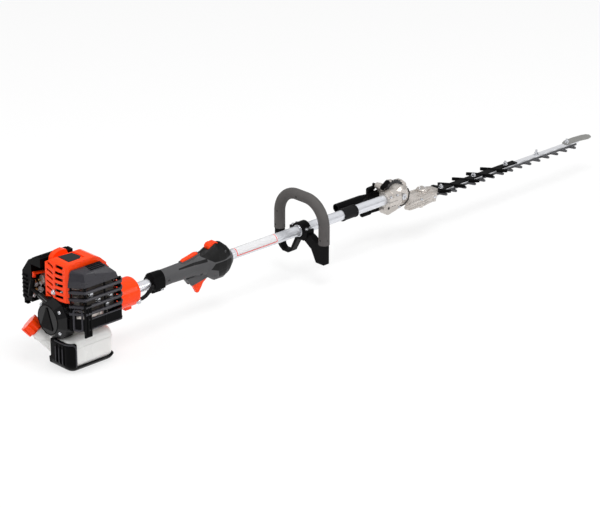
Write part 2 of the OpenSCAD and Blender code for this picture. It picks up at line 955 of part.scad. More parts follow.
module grip_form() {
    w = grip_half_w;
    slices = [[cap_len + gap, 23.5, -18, w], [76, 24, -17, w - 0.5], [138, 25.5, -19, w],
              [176, 37, -27, w + 3], [206, 51, -47, w + 7], [228, 44, -47, w + 7.5],
              [244, 31, -38, w + 5], [grip_len, 17, -22, w]];
    translate([grip_x, 0, 0]) {
        for (i = [0 : len(slices) - 2])
            hull() {
                grip_slice(slices[i][0], slices[i][1], slices[i][2], slices[i][3]);
                grip_slice(slices[i + 1][0], slices[i + 1][1], slices[i + 1][2], slices[i + 1][3]);
            }
        // Trigger housing
        plate_xz(-9, 9)
            polygon([[118, -18], [134, -39], [190, -30], [204, -18]]);
        // Seat of the lockout
        plate_xz(-7, 7)
            polygon([[106, 18], [108, 26], [134, 29], [162, 35], [166, 18]]);
    }
}

module grip_cavities() {
    translate([grip_x - 1, 0, 0])
        bar_along_x(0, grip_len + 4, seat_r);
    // Trigger slot
    block([grip_x + 128, -trigger_t / 2 - gap, -60], [grip_x + 194, trigger_t / 2 + gap, -tube_r - 1.8]);
    translate([trigger_pivot[0], 0, trigger_pivot[1]])
        bar_along_y(-trigger_t, trigger_t, 2);
    // Lockout slot
    block([grip_x + 109, -4.5 - gap, tube_r + 1.8], [grip_x + 161, 4.5 + gap, 60]);
    translate([lock_pivot[0], 0, lock_pivot[1]])
        bar_along_y(-8, 8, 2);
    // Switch pocket
    block([switch_x - 6, -9, switch_floor], [switch_x + 34, 9, 60]);
}

module grip_half(side) {
    difference() {
        intersection() {
            grip_form();
            block([grip_x, side > 0 ? gap / 4 : -60, -80], [grip_x + grip_len + 4, side > 0 ? 60 : -gap / 4, 80]);
        }
        grip_cavities();
    }
}

module grip_left() color(dark_grey) at_axis() {
    grip_half(1);
}

module grip_right() color(dark_grey) at_axis() {
    grip_half(-1);
}

module grip_cap() color(black) at_axis() {
    difference() {
        union() {
            hull() {
                translate([grip_x, 0, 0])
                    grip_slice(cap_back, 18, -16, grip_half_w - 2);
                translate([grip_x, 0, 0])
                    grip_slice(cap_back + 8, 25, -19.5, grip_half_w + 2.5);
            }
            hull() {
                translate([grip_x, 0, 0])
                    grip_slice(cap_back + 8, 25, -19.5, grip_half_w + 2.5);
                translate([grip_x, 0, 0])
                    grip_slice(cap_len - 0.5, 24.5, -19.5, grip_half_w + 1);
            }
            // Flat side that the conduit ends in, and the lug of the cap's screw
            hull() {
                block([grip_x + cap_back + 2, conduit_end_y - conduit_r - 2, -9],
                      [grip_x + cap_len - 6, -8, 9]);
                block([grip_x + cap_back + 6, -15, -15], [grip_x + cap_len, -8, 15]);
            }
            block([grip_x + cap_back + 4, -12, -21], [grip_x + cap_len, 8, -12]);
        }
        translate([0, conduit_end_y, conduit_end_z])
            bar_along_x(grip_x, grip_x + 20 + gap, conduit_r + fit);
        bar_along_x(grip_x - 1, grip_x + cap_len + 1, seat_r);
        translate([grip_x + cap_len - 5, 0, -17.5])
            bar_along_y(-13, 9, 1.8);
    }
}

module throttle_trigger() color(orange) at_axis() {
    translate([trigger_pivot[0], 0, trigger_pivot[1]])
        difference() {
            union() {
                bar_along_y(-trigger_t / 2, trigger_t / 2, hub_r);
                plate_xz(-trigger_t / 2, trigger_t / 2)
                    difference() {
                        polygon([[2, 3.5], [-8, -1], [-26, -11], [-44, -19], [-31, -43],
                                 [-25, -42], [-14, -27], [4, -9], [5, -1]]);
                        // Hollow that the finger rests in
                        translate([1, -34])
                            circle(r = 17);
                    }
            }
            bar_along_y(-trigger_t, trigger_t, 2 + fit);
        }
}

module throttle_lockout() color(orange) at_axis() {
    translate([lock_pivot[0], 0, lock_pivot[1]])
        difference() {
            union() {
                bar_along_y(-4.5, 4.5, hub_r);
                plate_xz(-4.5, 4.5)
                    polygon([[3, -2.5], [5, 6], [3, 17], [-4, 17.5], [-22, 13.5], [-38, 10.5],
                             [-43, 8], [-43, 5], [-8, 0], [-4, -1]]);
            }
            bar_along_y(-5, 5, 2 + fit);
        }
}

module stop_switch() color(orange) at_axis() {
    translate([switch_x, 0, switch_floor + gap / 2])
        plate_xz(-8, 8)
            polygon([[-1, 0], [28, 0], [28, 9], [23, 13], [15, 13], [13, 11], [11, 13.5], [3, 11.5], [-1, 7]]);
}

// ---- Throttle conduit between the engine and the grip ----

conduit_route = [[collar_front + 8, conduit_y, conduit_z], [collar_front + 15, -15, -21.5],
                 [collar_front + 24, -17, -17], [collar_front + 33, -18.5, -9],
                 [grip_x + 4, conduit_end_y, -2], [grip_x + 8, conduit_end_y, conduit_end_z]];

module conduit_joint(i) {
    translate(conduit_route[i])
        sphere(r = conduit_r, $fn = 12);
}

module throttle_conduit() color(black) at_axis() {
    translate([0, conduit_y, conduit_z])
        bar_along_x(conduit_start, collar_front + 8, conduit_r);
    for (i = [0 : len(conduit_route) - 2])
        hull() {
            conduit_joint(i);
            conduit_joint(i + 1);
        }
    translate([0, conduit_end_y, conduit_end_z])
        bar_along_x(grip_x + 8, grip_x + 20, conduit_r);
}

module conduit_clip() color(steel) at_axis() {
    difference() {
        union() {
            translate([collar_front, conduit_y, conduit_z])
                bar_along_x(0, 5, conduit_r + 2);
            block([collar_front, conduit_y + 3, -29], [collar_front + 2.4, 4, -20]);
            translate([collar_front, -2, -25])
                bar_along_x(0, 9, 5.5);
        }
        translate([collar_front, conduit_y, conduit_z])
            bar_along_x(-1, 6, conduit_r + fit);
    }
}

// ---- Loop handle ----

// Round bar along the handle's line, from its low ends over the top
module handle_line(r, low) {
    leg_top = handle_top - handle_bend;
    flat = handle_half - handle_bend;
    for (side = [0, 1])
        mirror([0, side, 0]) {
            translate([0, handle_half, low])
                cylinder(h = leg_top - low, r = r);
            translate([0, flat, leg_top])
                rotate([90, 0, 90])
                    rotate_extrude(angle = 90)
                        translate([handle_bend, 0])
                            circle(r = r);
        }
    translate([0, 0, handle_top])
        bar_along_y(-flat, flat, r);
}

module at_handle() {
    translate([handle_x, 0, axis_h])
        children();
}

module handle_core() color(black) at_handle() {
    handle_line(core_r, foam_low);
}

module handle_foam() color([0.42, 0.42, 0.43]) at_handle() {
    difference() {
        handle_line(foam_r, foam_low);
        handle_line(core_r + gap / 3, foam_low - 1);
    }
}

module handle_base() color(black) at_handle() {
    leg_in = handle_half - 9;
    leg_out = handle_half + 8;
    leg_top = foam_low - gap;
    leg_w = base_w * 0.75;
    difference() {
        union() {
            // Right leg and gusset, then the open strip and the left leg
            plate_yz(-leg_w / 2, leg_w / 2)
                polygon([[-leg_out, leg_top], [-leg_out, leg_low], [-leg_in + 10, leg_low], [-42, -36],
                         [-clamp_r + 2, -clamp_r], [4, -clamp_r], [27, -62], [38, -69], [58, -69],
                         [68, -62], [leg_out, -44], [leg_out, leg_top], [leg_in, leg_top],
                         [leg_in, -42], [62, -61 + strip_t / 2], [57, -69 + strip_t],
                         [40, -69 + strip_t], [32, -65 + strip_t], [13, -clamp_r],
                         [clamp_r + 2, -14], [clamp_r + 2, 0], [-clamp_r - 2, 0],
                         [-38, -4], [-leg_in + 9, leg_top]]);
            // Lower half of the clamp
            plate_yz(-base_w / 2, base_w / 2)
                polygon([[-clamp_r - 9, 0], [-clamp_r - 9, -10], [-clamp_r + 2, -clamp_r],
                         [clamp_r - 8, -clamp_r], [clamp_r + 9, -10], [clamp_r + 9, 0]]);
        }
        bar_along_x(-base_w, base_w, seat_r);
        for (sx = [-1, 1], sy = [-1, 1])
            translate([sx * base_w / 4, sy * (clamp_r + 3), -16])
                cylinder(h = 20, r = 2);
    }
}

module handle_clamp() color(black) at_handle() {
    difference() {
        union() {
            intersection() {
                bar_along_x(-base_w / 2, base_w / 2, clamp_r);
                block([-base_w, -clamp_r - 1, gap], [base_w, clamp_r + 1, clamp_r + 1]);
            }
            block([-base_w / 2, -clamp_r - 9, gap], [base_w / 2, clamp_r + 9, 7]);
        }
        bar_along_x(-base_w, base_w, seat_r);
        for (sx = [-1, 1], sy = [-1, 1])
            translate([sx * base_w / 4, sy * (clamp_r + 3), -1])
                cylinder(h = 30, r = 2.2);
        for (sx = [-1, 1], sy = [-1, 1])
            translate([sx * base_w / 4, sy * (clamp_r + 3), 7])
                cylinder(h = 30, r = 3.8 + gap);
    }
}

module handle_bolts() color(steel) at_handle() {
    for (sx = [-1, 1], sy = [-1, 1])
        translate([sx * base_w / 4, sy * (clamp_r + 3), -14])
            difference() {
                union() {
                    cylinder(h = 22, r = 2 - fit);
                    translate([0, 0, 21 + gap / 3])
                        cylinder(h = 3.6, r = 3.8);
                }
                translate([0, 0, 22.5])
                    cylinder(h = 3, r = 1.8, $fn = 6);
            }
}

// ---- Articulating head ----

module fixed_head() color(cast_metal) at_pivot() {
    difference() {
        union() {
            bar_along_x(sleeve_back, -10, sleeve_r);
            // Stepped rings cast on the sleeve
            bar_along_x(-34, -10, sleeve_r + 2.2);
            bar_along_y(barrel_right + 4, barrel_left, barrel_r);
            // Domed right side of the barrel
            translate([0, barrel_right + 4, 0])
                rotate([90, 0, 0])
                    cylinder(h = 4, r1 = barrel_r, r2 = barrel_r - 8);
            // Lugs of the clamp slot
            block([sleeve_back, -sleeve_r - 4, -11], [-12, -tube_r, 9]);
        }
        bar_along_x(sleeve_back - 1, tube_end - pivot_x + gap, seat_r);
        // Room for the pinion and the pivot gear
        bar_along_x(-30, -14, 10);
        bar_along_y(-14, barrel_left + 1, 19);
        bar_along_y(barrel_right - 1, barrel_left, pivot_r + fit);
        // Clamp slot and bolt holes
        block([sleeve_back - 1, -sleeve_r - 5, -1.6], [-24, -tube_r + 1, -0.4]);
        for (x = [-46, -24])
            translate([x, -sleeve_r - 0.5, -12]) {
                cylinder(h = 22, r = 1.9);
                translate([0, 0, 21])
                    cylinder(h = 9, r = 3.4 + gap);
            }
        // Flat that the index plate and the moving case turn in front of
        bar_along_y(barrel_left, barrel_left + 20, norm(pawl_at) + 8);
    }
}

module clamp_bolts() color(steel) at_pivot() {
    for (x = [-46, -24])
        translate([x, -sleeve_r - 0.5, 0]) {
            translate([0, 0, -10])
                cylinder(h = 20, r = 1.9 - fit);
            translate([0, 0, 9 + gap / 3])
                difference() {
                    cylinder(h = 4, r = 3.4);
                    translate([0, 0, 2])
                        cylinder(h = 3, r = 1.6, $fn = 6);
                }
        }
}

module index_plate() color(black) at_pivot() {
    tooth_h = 4;
    plate_xz(index_y, index_y + index_t)
        difference() {
            circle(r = index_r);
            circle(r = pivot_r + 6);
            for (i = [0 : index_teeth - 1])
                rotate(i * 360 / index_teeth)
                    polygon([[index_r - tooth_h, -1.6], [index_r + 1, -3.8],
                             [index_r + 1, 3.8], [index_r - tooth_h, 1.6]]);
        }
}

module pivot_bolt() color(steel) at_pivot() {
    bar_along_y(barrel_right - 1, flange_y + flange_t + 3, pivot_r);
    translate([0, barrel_right - 1 + eps, 0])
        rotate([90, 0, 0])
            difference() {
                cylinder(h = 5, r = pivot_r + 3.5, $fn = 6);
                translate([0, 0, 3])
                    cylinder(h = 3, r = 3);
            }
}

module pivot_gear() color(dark_grey) at_pivot() {
    difference() {
        union() {
            bar_along_y(-12, -6, 12);
            bar_along_y(-7, flange_y + 3, pivot_r + 3);
        }
        bar_along_y(-15, flange_y + 5, pivot_r + fit);
        for (i = [0 : 11])
            rotate([0, i * 30, 0])
                block([-1, -13, 9], [1, -9, 14]);
    }
}

// Slot-shaped outline: a square with a round end at each side
module stadium(half, r) {
    square([2 * half, 2 * r], center = true);
    for (sx = [-1, 1])
        translate([sx * half, 0])
            circle(r = r);
}

// Outline of the crank housing, seen from above
module crank_housing_plan(grow) {
    hull() {
        translate([crank_x - 27, -2])
            circle(r = 30 + grow, $fn = 48);
        translate([crank_x + 19, 0])
            circle(r = 25 + grow, $fn = 48);
    }
}

module gear_case() color(cast_metal) at_pivot() {
    difference() {
        union() {
            bar_along_y(flange_y, flange_y + flange_t, flange_r);
            // Arm that reaches down from the flange, with a hump in front of the index plate
            plate_xz(flange_y, flange_y + flange_t - 2)
                polygon([[-18, 20], [-31, 31], [pawl_at[0] - 6, pawl_at[1] - 5], [-29, 0],
                         [lobe_at[0] - lobe_r, lobe_at[1]], [lobe_at[0], lobe_at[1] - lobe_r],
                         [12, lobe_at[1] - 12], [31, case_low], [case_x + 34, case_low],
                         [case_x + 34, case_high - 4], [49, -4], [46, 14], [34, 25], [16, 26]]);
            translate([42.5, 0, 3])
                bar_along_y(index_y, flange_y + 1, 4.5);
            translate([lobe_at[0], 0, lobe_at[1]])
                bar_along_y(flange_y, flange_y + flange_t, lobe_r);
            translate([pawl_at[0], 0, pawl_at[1]])
                bar_along_y(flange_y, flange_y + flange_t, 8);
            // Crank housing with sloping sides and a narrow ridge
            hull() {
                translate([0, 0, case_low])
                    linear_extrude(1)
                        crank_housing_plan(-2);
                translate([0, 0, case_low + 5])
                    linear_extrude(11)
                        crank_housing_plan(0);
                translate([0, 0, case_high - 2])
                    linear_extrude(2) {
                        translate([case_x + 16, 8])
                            circle(r = 8, $fn = 32);
                        translate([crank_x + 22, 2])
                            circle(r = 10, $fn = 32);
                    }
            }
            // Boss over the crank gear's upper journal
            translate([crank_x, 0, case_high - 8])
                cylinder(h = 12, r = 15);
            translate([crank_x, 0, case_high + 4 - eps])
                cylinder(h = 2, r1 = 15, r2 = 12);
            // Cheek that passes outside the barrel's end
            plate_xz(-33, -cheek_y)
                polygon([[-6, -23], [-4, -30], [10, case_low], [56, case_low],
                         [56, case_high - 8], [34, case_high - 6], [12, -19]]);
            // Rim with the lid's screw bosses
            for (q = lid_screws)
                translate([q[0], q[1], case_low])
                    cylinder(h = 8, r = 5);
            // Nose that carries the blade bar
            translate([0, 0, bar_z])
                linear_extrude(case_high - bar_z - 4)
                    hull() {
                        translate([case_front_x - 20, 0])
                            square([4, 46], center = true);
                        translate([nose_end - 2, 0])
                            square([4, bar_w + 10], center = true);
                    }
        }
        bar_along_y(flange_y - 1, flange_y + flange_t + 1, pivot_r + fit);
        bar_along_y(flange_y - 1, flange_y + 4, pivot_r + 4);
        // Bores of the lock's two pins
        translate([pawl_at[0], 0, pawl_at[1]])
            bar_along_y(flange_y - 1, flange_y + flange_t + 1, pawl_pin_r + fit);
        translate([lobe_at[0], 0, lobe_at[1]])
            bar_along_y(flange_y - 1, flange_y + flange_t + 1, pawl_pin_r + fit);
        // Room for the fixed barrel and the index plate, which the case swings round
        bar_along_y(-cheek_y, flange_y, barrel_r + 2);
        bar_along_y(barrel_left - 2, flange_y, index_r + 1);
        // Room for the crank gear, its journal and the blades' ends
        translate([crank_x, 0, 0]) {
            translate([0, 0, case_low - 1])
                cylinder(h = gear_z + gear_t + gap * 2 - case_low + 1, r = crank_gear_d / 2 + 1.5);
            translate([0, 0, gear_z])
                cylinder(h = case_high - gear_z + 2, r = journal_r + fit);
            translate([0, 0, case_low - 1])
                linear_extrude(bar_z - case_low + 1)
                    stadium(throw * 2 + 1, yoke_r + gap * 2);
        }
        translate([crank_x, -blade_near - 2 * gap, case_low - 1])
            cube([80, blade_near + bar_w / 2 + 3 * gap, bar_z - case_low + 1]);
    }
}

module gear_case_lid() color(cast_metal) at_pivot() {
    difference() {
        translate([0, 0, case_low - lid_t])
            linear_extrude(lid_t) {
                crank_housing_plan(-2);
                for (q = lid_screws)
                    translate(q)
                        circle(r = 5);
            }
        // Cut back where the barrel swings
        bar_along_y(-60, 60, index_r + 10);
        translate([crank_x, 0, case_low - 2.3])
            cylinder(h = 20, r = journal_r + fit);
        for (q = lid_screws)
            translate([q[0], q[1], case_low - lid_t - 1])
                cylinder(h = 2, r = 3);
    }
}

module crank_gear() color(dark_grey) at_pivot() {
    translate([crank_x, 0, 0]) {
        difference() {
            translate([0, 0, gear_z])
                cylinder(h = gear_t, r = crank_gear_d / 2);
            for (i = [0 : 29])
                rotate([0, 0, i * 12])
                    translate([crank_gear_d / 2, 0, gear_z - 1])
                        cylinder(h = 8, r = 1.3);
        }
        translate([0, 0, gear_z + gear_t - 1])
            cylinder(h = case_high - gear_z - gear_t + 2.5, r = journal_r);
        // Eccentrics, opposite each other, one for each blade
        translate([throw, 0, upper_z - blade_gap / 2])
            cylinder(h = gear_z + 1 - upper_z, r = eccentric_r);
        translate([-throw, 0, lower_z])
            cylinder(h = upper_z - lower_z, r = eccentric_r);
        translate([0, 0, case_low - 2])
            cylinder(h = lower_z - case_low + 2.5, r = journal_r);
    }
}

module adjust_handle() color(black) at_pivot() {
    strap_y = flange_y + flange_t + gap;
    difference() {
        union() {
            translate([0, adjust_y, 0])
                bar_along_x(-175, -92, adjust_r);
            hull() {
                translate([-96, adjust_y, 0])
                    rotate([0, 90, 0])
                        cylinder(h = 4, r = adjust_r, $fn = 32);
                translate([-72, strap_y, -7])
                    cube([2, 4.4, 16]);
            }
            plate_xz(strap_y, strap_y + 4.4) {
                polygon([[-72, -7], [-72, 9], [0, 14], [0, -14]]);
                circle(r = 14);
            }
        }
        // Hollow end of the tube
        translate([0, adjust_y, 0])
            bar_along_x(-176, -110, adjust_r - 3);
        bar_along_y(strap_y - 1, strap_y + 10, pivot_r + fit);
    }
}

module lock_pawl() color(black) at_pivot() {
    strap_top = flange_y + flange_t + gap + 4.4;
    translate([pawl_at[0], 0, pawl_at[1]])
        bar_along_y(index_y, strap_top + gap + 8, pawl_pin_r);
    // Pawl in line with the index plate's teeth
    plate_xz(index_y, index_y + index_t)
        difference() {
            union() {
                translate(pawl_at)
                    circle(r = 6.5);
                polygon([[pawl_at[0] - 2, pawl_at[1] + 6.2], [pawl_at[0], pawl_at[1] - 6.5],
                         [-26, 24], [-17, 31], [-17, 38], [-23, 41], [-29, 39]]);
            }
            circle(r = index_r + gap);
        }
    // Thumb block on the outer side
    plate_xz(strap_top + gap, strap_top + gap + 8)
        polygon([[-64, -3], [-64, 19], [-60, 21], [-42, 22], [-36, 26], [-33, 22], [-36, 19],
                 [-44, 12], [-46, -3]]);
}

module release_lever() color(black) at_pivot() {
    lever_y = flange_y + flange_t + gap;
    translate([lobe_at[0], 0, lobe_at[1]]) {
        bar_along_y(flange_y, lever_y + 4, pawl_pin_r);
        plate_xz(lever_y, lever_y + 5) {
            circle(r = 8);
            polygon([[-2, 8], [2, -8], [-46, -6], [-46, 1]]);
        }
        translate([0, lever_y + 2.5, -3]) {
            bar_along_x(-48, -44, 3.5);
            bar_along_x(-72, -47, 6.5);
            translate([-72, 0, 0])
                sphere(r = 6.5);
        }
    }
}

// ---- Blades ----

module bolt_line() {
    for (i = [0 : bolt_count - 1])
        translate([bolt_x + i * bolt_pitch, 0, 0])
            children();
}

module guide_bar() color(steel) at_pivot() {
    difference() {
        translate([bar_x, -bar_w / 2, bar_z - bar_t])
            cube([bar_end - bar_x, bar_w, bar_t]);
        bolt_line()
            translate([0, 0, bar_z - bar_t - 1])
                cylinder(h = bar_t + 2, r = bolt_r + fit);
    }
}

// Points of the teeth along the blades' cutting edge, from the tip back to the case
tooth_edge = [
    for (i = [tooth_count : -1 : 0], p = [[9, blade_near], [4.5, blade_near + 6], [2.5, tooth_reach],
                                          [-2.5, tooth_reach], [-9, blade_near]])
        [tooth_x + i * tooth_pitch + p[0], -p[1]]
];

// Blade's outline: an eight-sided yoke round the eccentric, then the toothed part
module blade_plan() {
    blade_end = bar_end - throw - 2;
    yoke_back = crank_x - throw;
    yoke_front = crank_x + throw;
    corner = yoke_r * 0.72;
    difference() {
        polygon(concat([[yoke_front + yoke_r, -blade_near], [yoke_front + 3, -yoke_r],
                        [yoke_back, -yoke_r], [yoke_back - corner, -corner], [yoke_back - yoke_r, 0],
                        [yoke_back - corner, corner], [yoke_back, yoke_r],
                        [yoke_front + 3, yoke_r], [yoke_front + yoke_r, blade_far],
                        [blade_end, blade_far], [blade_end, -blade_near]],
                       tooth_edge));
        // Window round the eccentric, as wide as both travels need
        translate([crank_x, 0])
            stadium(throw, eccentric_r + throw + gap);
        for (i = [0 : bolt_count - 1])
            translate([bolt_x + i * bolt_pitch, 0])
                stadium(throw, bolt_r + gap);
    }
}

module upper_blade() color(steel) at_pivot() {
    translate([0, 0, upper_z])
        linear_extrude(blade_t)
            blade_plan();
}

module lower_blade() color(steel) at_pivot() {
    translate([0, 0, lower_z])
        linear_extrude(blade_t)
            blade_plan();
}

// Height of what lies on the bar under the bolt with index i
function under_bolt(i) = bolt_x + i * bolt_pitch < guard_x + guard_len
    || i == bolt_count - 1 ? plate_t + gap / 3 : 0;

module bar_bolts() color(steel) at_pivot() {
    for (i = [0 : bolt_count - 1])
        translate([bolt_x + i * bolt_pitch, 0, 0]) {
            translate([0, 0, lower_z - gap - 3])
                cylinder(h = bar_z - lower_z + gap + 3 + bolt_rise, r = bolt_r);
            translate([0, 0, bar_z + under_bolt(i) + gap / 3])
                cylinder(h = 1.2, r = 6.5);
            translate([0, 0, bar_z + under_bolt(i) + gap / 3 + 1.2])
                cylinder(h = 5, r = 5.5, $fn = 6);
            translate([0, 0, lower_z - gap - 4])
                cylinder(h = 4, r = 5.5);
        }
}

// Outline of one slanted rib of the tooth guard
module rib_plan() {
    reach = tooth_reach + 3;
    lean = 19;
    polygon([[-lean - 1.5, reach], [-lean + 3, reach - 2], [4, 0], [lean + 1.5, -reach],
             [lean - 3, -reach + 2], [-4, 0]]);
}

module tooth_guard() color(black) at_pivot() {
    difference() {
        union() {
            translate([guard_x, -bar_w / 2 - 1.5, guard_z])
                cube([guard_len, bar_w + 3, plate_t]);
            for (i = [0 : guard_ribs - 1])
                translate([rib_x + i * rib_pitch, 0, 0]) {
                    translate([0, 0, guard_z])
                        linear_extrude(plate_t + 1.5)
                            rib_plan();
                    translate([0, 0, bar_z - bar_t + gap])
                        linear_extrude(bar_t)
                            difference() {
                                rib_plan();
                                square([120, bar_w + 2 * gap], center = true);
                            }
                }
            // Wide skirt at the rear
            translate([guard_x, 0, guard_z])
                linear_extrude(plate_t)
                    polygon([[0, -bar_w / 2 - 6], [22, -bar_w / 2 - 6], [34, -bar_w / 2], [34, bar_w / 2],
                             [26, tooth_reach + 3], [19, tooth_reach + 4], [8, bar_w / 2 + 6],
                             [0, bar_w / 2 + 6]]);
        }
        // Notch round the case's nose
        translate([nose_end - 10, -bar_w / 2 - 8, guard_z - 8])
            cube([10 + gap, bar_w + 16, 20]);
        for (i = [0 : bolt_count - 1])
            translate([bolt_x + i * bolt_pitch, 0, guard_z - 1]) {
                cylinder(h = 10, r = bolt_r + gap);
                translate([0, 0, 1 + plate_t])
                    cylinder(h = 10, r = 7);
            }
    }
}

module tip_guard() color([0.55, 0.55, 0.54]) at_pivot() {
    x0 = bolt_x + (bolt_count - 1) * bolt_pitch;
    translate([0, 0, guard_z])
        difference() {
            linear_extrude(plate_t)
                polygon([[x0 - 9, -8], [x0 - 9, 8], [x0 + 6, 15], [x0 + 40, 16], [x0 + 72, 13],
                         [x0 + 86, 8], [x0 + 90, 0], [x0 + 84, -12], [x0 + 68, -16],
                         [x0 + 50, -12], [x0 + 30, -9]]);
            translate([x0, 0, -1])
                cylinder(h = 10, r = bolt_r + gap);
        }
}

crankcase();
crank_bearings();
crankshaft();
piston();
cylinder_block();
spark_plug();
flywheel();
clutch_shoes();
clutch_drum();
clutch_collar();
starter_case();
starter_reel();
starter_handle();
muffler();
muffler_shield();
exhaust_guard();
engine_cover();
intake_block();
carburetor();
choke_lever();
primer_bulb();
air_cleaner_base();
air_cleaner_cover();
fuel_tank();
fuel_cap();
tank_skid();
drive_tube();
drive_shaft();
shaft_bushes();
storage_ring();
grip_left();
grip_right();
grip_cap();
throttle_trigger();
throttle_lockout();
stop_switch();
throttle_conduit();
conduit_clip();
handle_base();
handle_clamp();
handle_core();
handle_foam();
handle_bolts();
fixed_head();
clamp_bolts();
index_plate();
pivot_bolt();
pivot_gear();
gear_case();
gear_case_lid();
crank_gear();
adjust_handle();
lock_pawl();
release_lever();
guide_bar();
upper_blade();
lower_blade();
bar_bolts();
tooth_guard();
tip_guard();
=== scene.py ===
"""Dresses the solids of an articulating engine hedge trimmer: finishes, small fittings, stage and camera."""
import math

import bmesh
import bpy
from mathutils import Matrix, Vector
from mathutils.bvhtree import BVHTree


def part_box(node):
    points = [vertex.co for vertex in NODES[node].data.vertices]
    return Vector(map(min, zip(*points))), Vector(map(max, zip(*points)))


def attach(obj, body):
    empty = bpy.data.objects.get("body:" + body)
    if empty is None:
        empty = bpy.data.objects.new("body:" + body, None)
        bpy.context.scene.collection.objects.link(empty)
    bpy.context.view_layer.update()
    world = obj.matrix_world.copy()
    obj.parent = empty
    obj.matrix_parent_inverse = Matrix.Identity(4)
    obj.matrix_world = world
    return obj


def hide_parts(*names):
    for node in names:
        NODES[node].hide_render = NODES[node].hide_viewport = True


bl_info = {
    "name": "Hedge trimmer dressing",
    "version": (1, 0, 0),
    "blender": (4, 5, 0),
    "location": "View3D > Sidebar > Trimmer",
    "description": "Finishes, small fittings, stage and camera for a long-reach engine hedge trimmer",
    "category": "Object",
}

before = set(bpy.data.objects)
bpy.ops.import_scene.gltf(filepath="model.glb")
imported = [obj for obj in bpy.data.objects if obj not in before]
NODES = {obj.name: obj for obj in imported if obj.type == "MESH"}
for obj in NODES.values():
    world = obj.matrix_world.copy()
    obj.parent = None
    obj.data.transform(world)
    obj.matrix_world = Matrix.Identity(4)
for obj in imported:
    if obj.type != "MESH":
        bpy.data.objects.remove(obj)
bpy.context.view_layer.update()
AXIS_H = 0.124          # height of the drive tube's axis
MM = 0.001

BACKWARD, FORWARD = (-1, 0, 0), (1, 0, 0)
RIGHT, LEFT = (0, -1, 0), (0, 1, 0)
DOWN, UP = (0, 0, -1), (0, 0, 1)


def at(x, y, z):
    """Point from millimetres, with z measured from the drive tube's axis."""
    return Vector((x * MM, y * MM, z * MM + AXIS_H))


# ---- Sizes and colours that a user may change ----

def colour(name, description, default):
    """A colour property."""
    return bpy.props.FloatVectorProperty(name=name, description=description, default=default,
                                         subtype="COLOR", size=3, min=0.0, max=1.0)


def length(name, description, default):
    """A length property in metres."""
    return bpy.props.FloatProperty(name=name, description=description, default=default,
                                   min=0.0, unit="LENGTH", subtype="DISTANCE")


class TrimmerColours(bpy.types.PropertyGroup):
    """Colours of the trimmer's finishes"""
    orange: colour("Orange plastic", "Covers, cap, levers and collar", (0.94, 0.051, 0.0025))
    black: colour("Black plastic", "Guards, starter, air cleaner and skid", (0.0020, 0.0020, 0.0023))
    grip: colour("Grip plastic", "The rear grip's two halves", (0.068, 0.068, 0.071))
    foam: colour("Foam", "Sleeve of the loop handle", (0.086, 0.081, 0.079))
    rubber: colour("Rubber", "Conduit, primer and storage ring", (0.006, 0.006, 0.0065))
    tank: colour("Tank", "Milky tank plastic", (0.80, 0.80, 0.785))
    cast: colour("Cast alloy", "Gear case and engine castings", (0.575, 0.537, 0.504))
    tube: colour("Tube", "Drawn tube of the shaft", (0.695, 0.71, 0.75))
    steel: colour("Bright steel", "Bolts, clips, bearings and shafts", (0.62, 0.63, 0.66))
    dark_steel: colour("Dark steel", "Gears and index plate", (0.045, 0.045, 0.048))
    bar: colour("Guide bar", "Zinc-plated guide bar", (0.74, 0.75, 0.78))
    blade: colour("Blades", "Blackened blades with ground edges", (0.07, 0.07, 0.075))
    tip: colour("Tip guard", "Painted plate at the blade's tip", (0.22, 0.22, 0.21))
    # Heat-tinted steel, darkened further as painted shade behind the exhaust guard's slats
    exhaust: colour("Exhaust", "Heat-tinted steel of the silencer", (0.07, 0.06, 0.052))
    # Lighter than the black plastic: the shield's own satin tone, and a painted highlight on the slat fronts,
    # rims and lips of black parts
    satin: colour("Satin black and painted highlight", "Silencer's shield, slat fronts, rims and lips", (0.026, 0.025, 0.031))
    brass: colour("Brass", "Carburetor's jets", (0.62, 0.44, 0.17))
    hose: colour("Hose", "Fuel hoses", (0.16, 0.11, 0.05))
    film: colour("Film", "Bare film on the tube", (0.66, 0.66, 0.67))
    border: colour("Film border", "Border of the film", (0.75, 0.03, 0.03))
    floor: colour("Floor", "Floor of the stage", (0.90, 0.90, 0.90))


class TrimmerSizes(bpy.types.PropertyGroup):
    """Sizes of the small fittings"""
    screw_r: length("Screw head radius", "Radius of the moulded parts' screw heads", 0.0036)
    bolt_r: length("Bolt head radius", "Radius of the engine's hexagon bolt heads", 0.0048)
    hose_r: length("Fuel hose radius", "Outside radius of the two fuel hoses", 0.0026)
    film_t: length("Film thickness", "Thickness of the bare film on the tube", 0.00025)
    camera_lens: bpy.props.FloatProperty(name="Lens", description="Focal length of the camera",
                                         default=156.0, min=20.0, unit="CAMERA")
    lamp: bpy.props.FloatProperty(name="Lamp strength", description="Power of the main lamp in watts",
                                  default=170.0, min=0.0, unit="POWER")


# ---- Shader node groups shared by the finishes ----

AREA_BLEND = 0.0003             # half the width of the soft line round an area
CELL_SHARE = 0.6                # how much of the grain comes from cells
TONE_RANGE = (0.35, 0.7)        # noise values between which the worn tone comes in
EDGE_RANGE = (0.995, 0.85)      # cosines between which an edge counts as worn and gets a painted highlight
EDGE_GAIN, EDGE_LIFT = 1.7, 0.06            # a worn and highlit edge's colour from its base colour: partly wear, partly painted highlight
ROUGH_BELOW, ROUGH_ABOVE, ROUGH_LEAST = 0.07, 0.09, 0.02
BUMP_STRENGTH = 0.8


def socket(group, name, direction, kind, default=None):
    """Adds a named socket to a node group."""
    s = group.interface.new_socket(name=name, in_out=direction, socket_type=kind)
    if default is not None:
        s.default_value = default
    return s


def link(tree, value, target):
    """Gives an input what a socket puts out, or a constant."""
    if isinstance(value, bpy.types.NodeSocket):
        tree.links.new(value, target)
    else:
        target.default_value = value


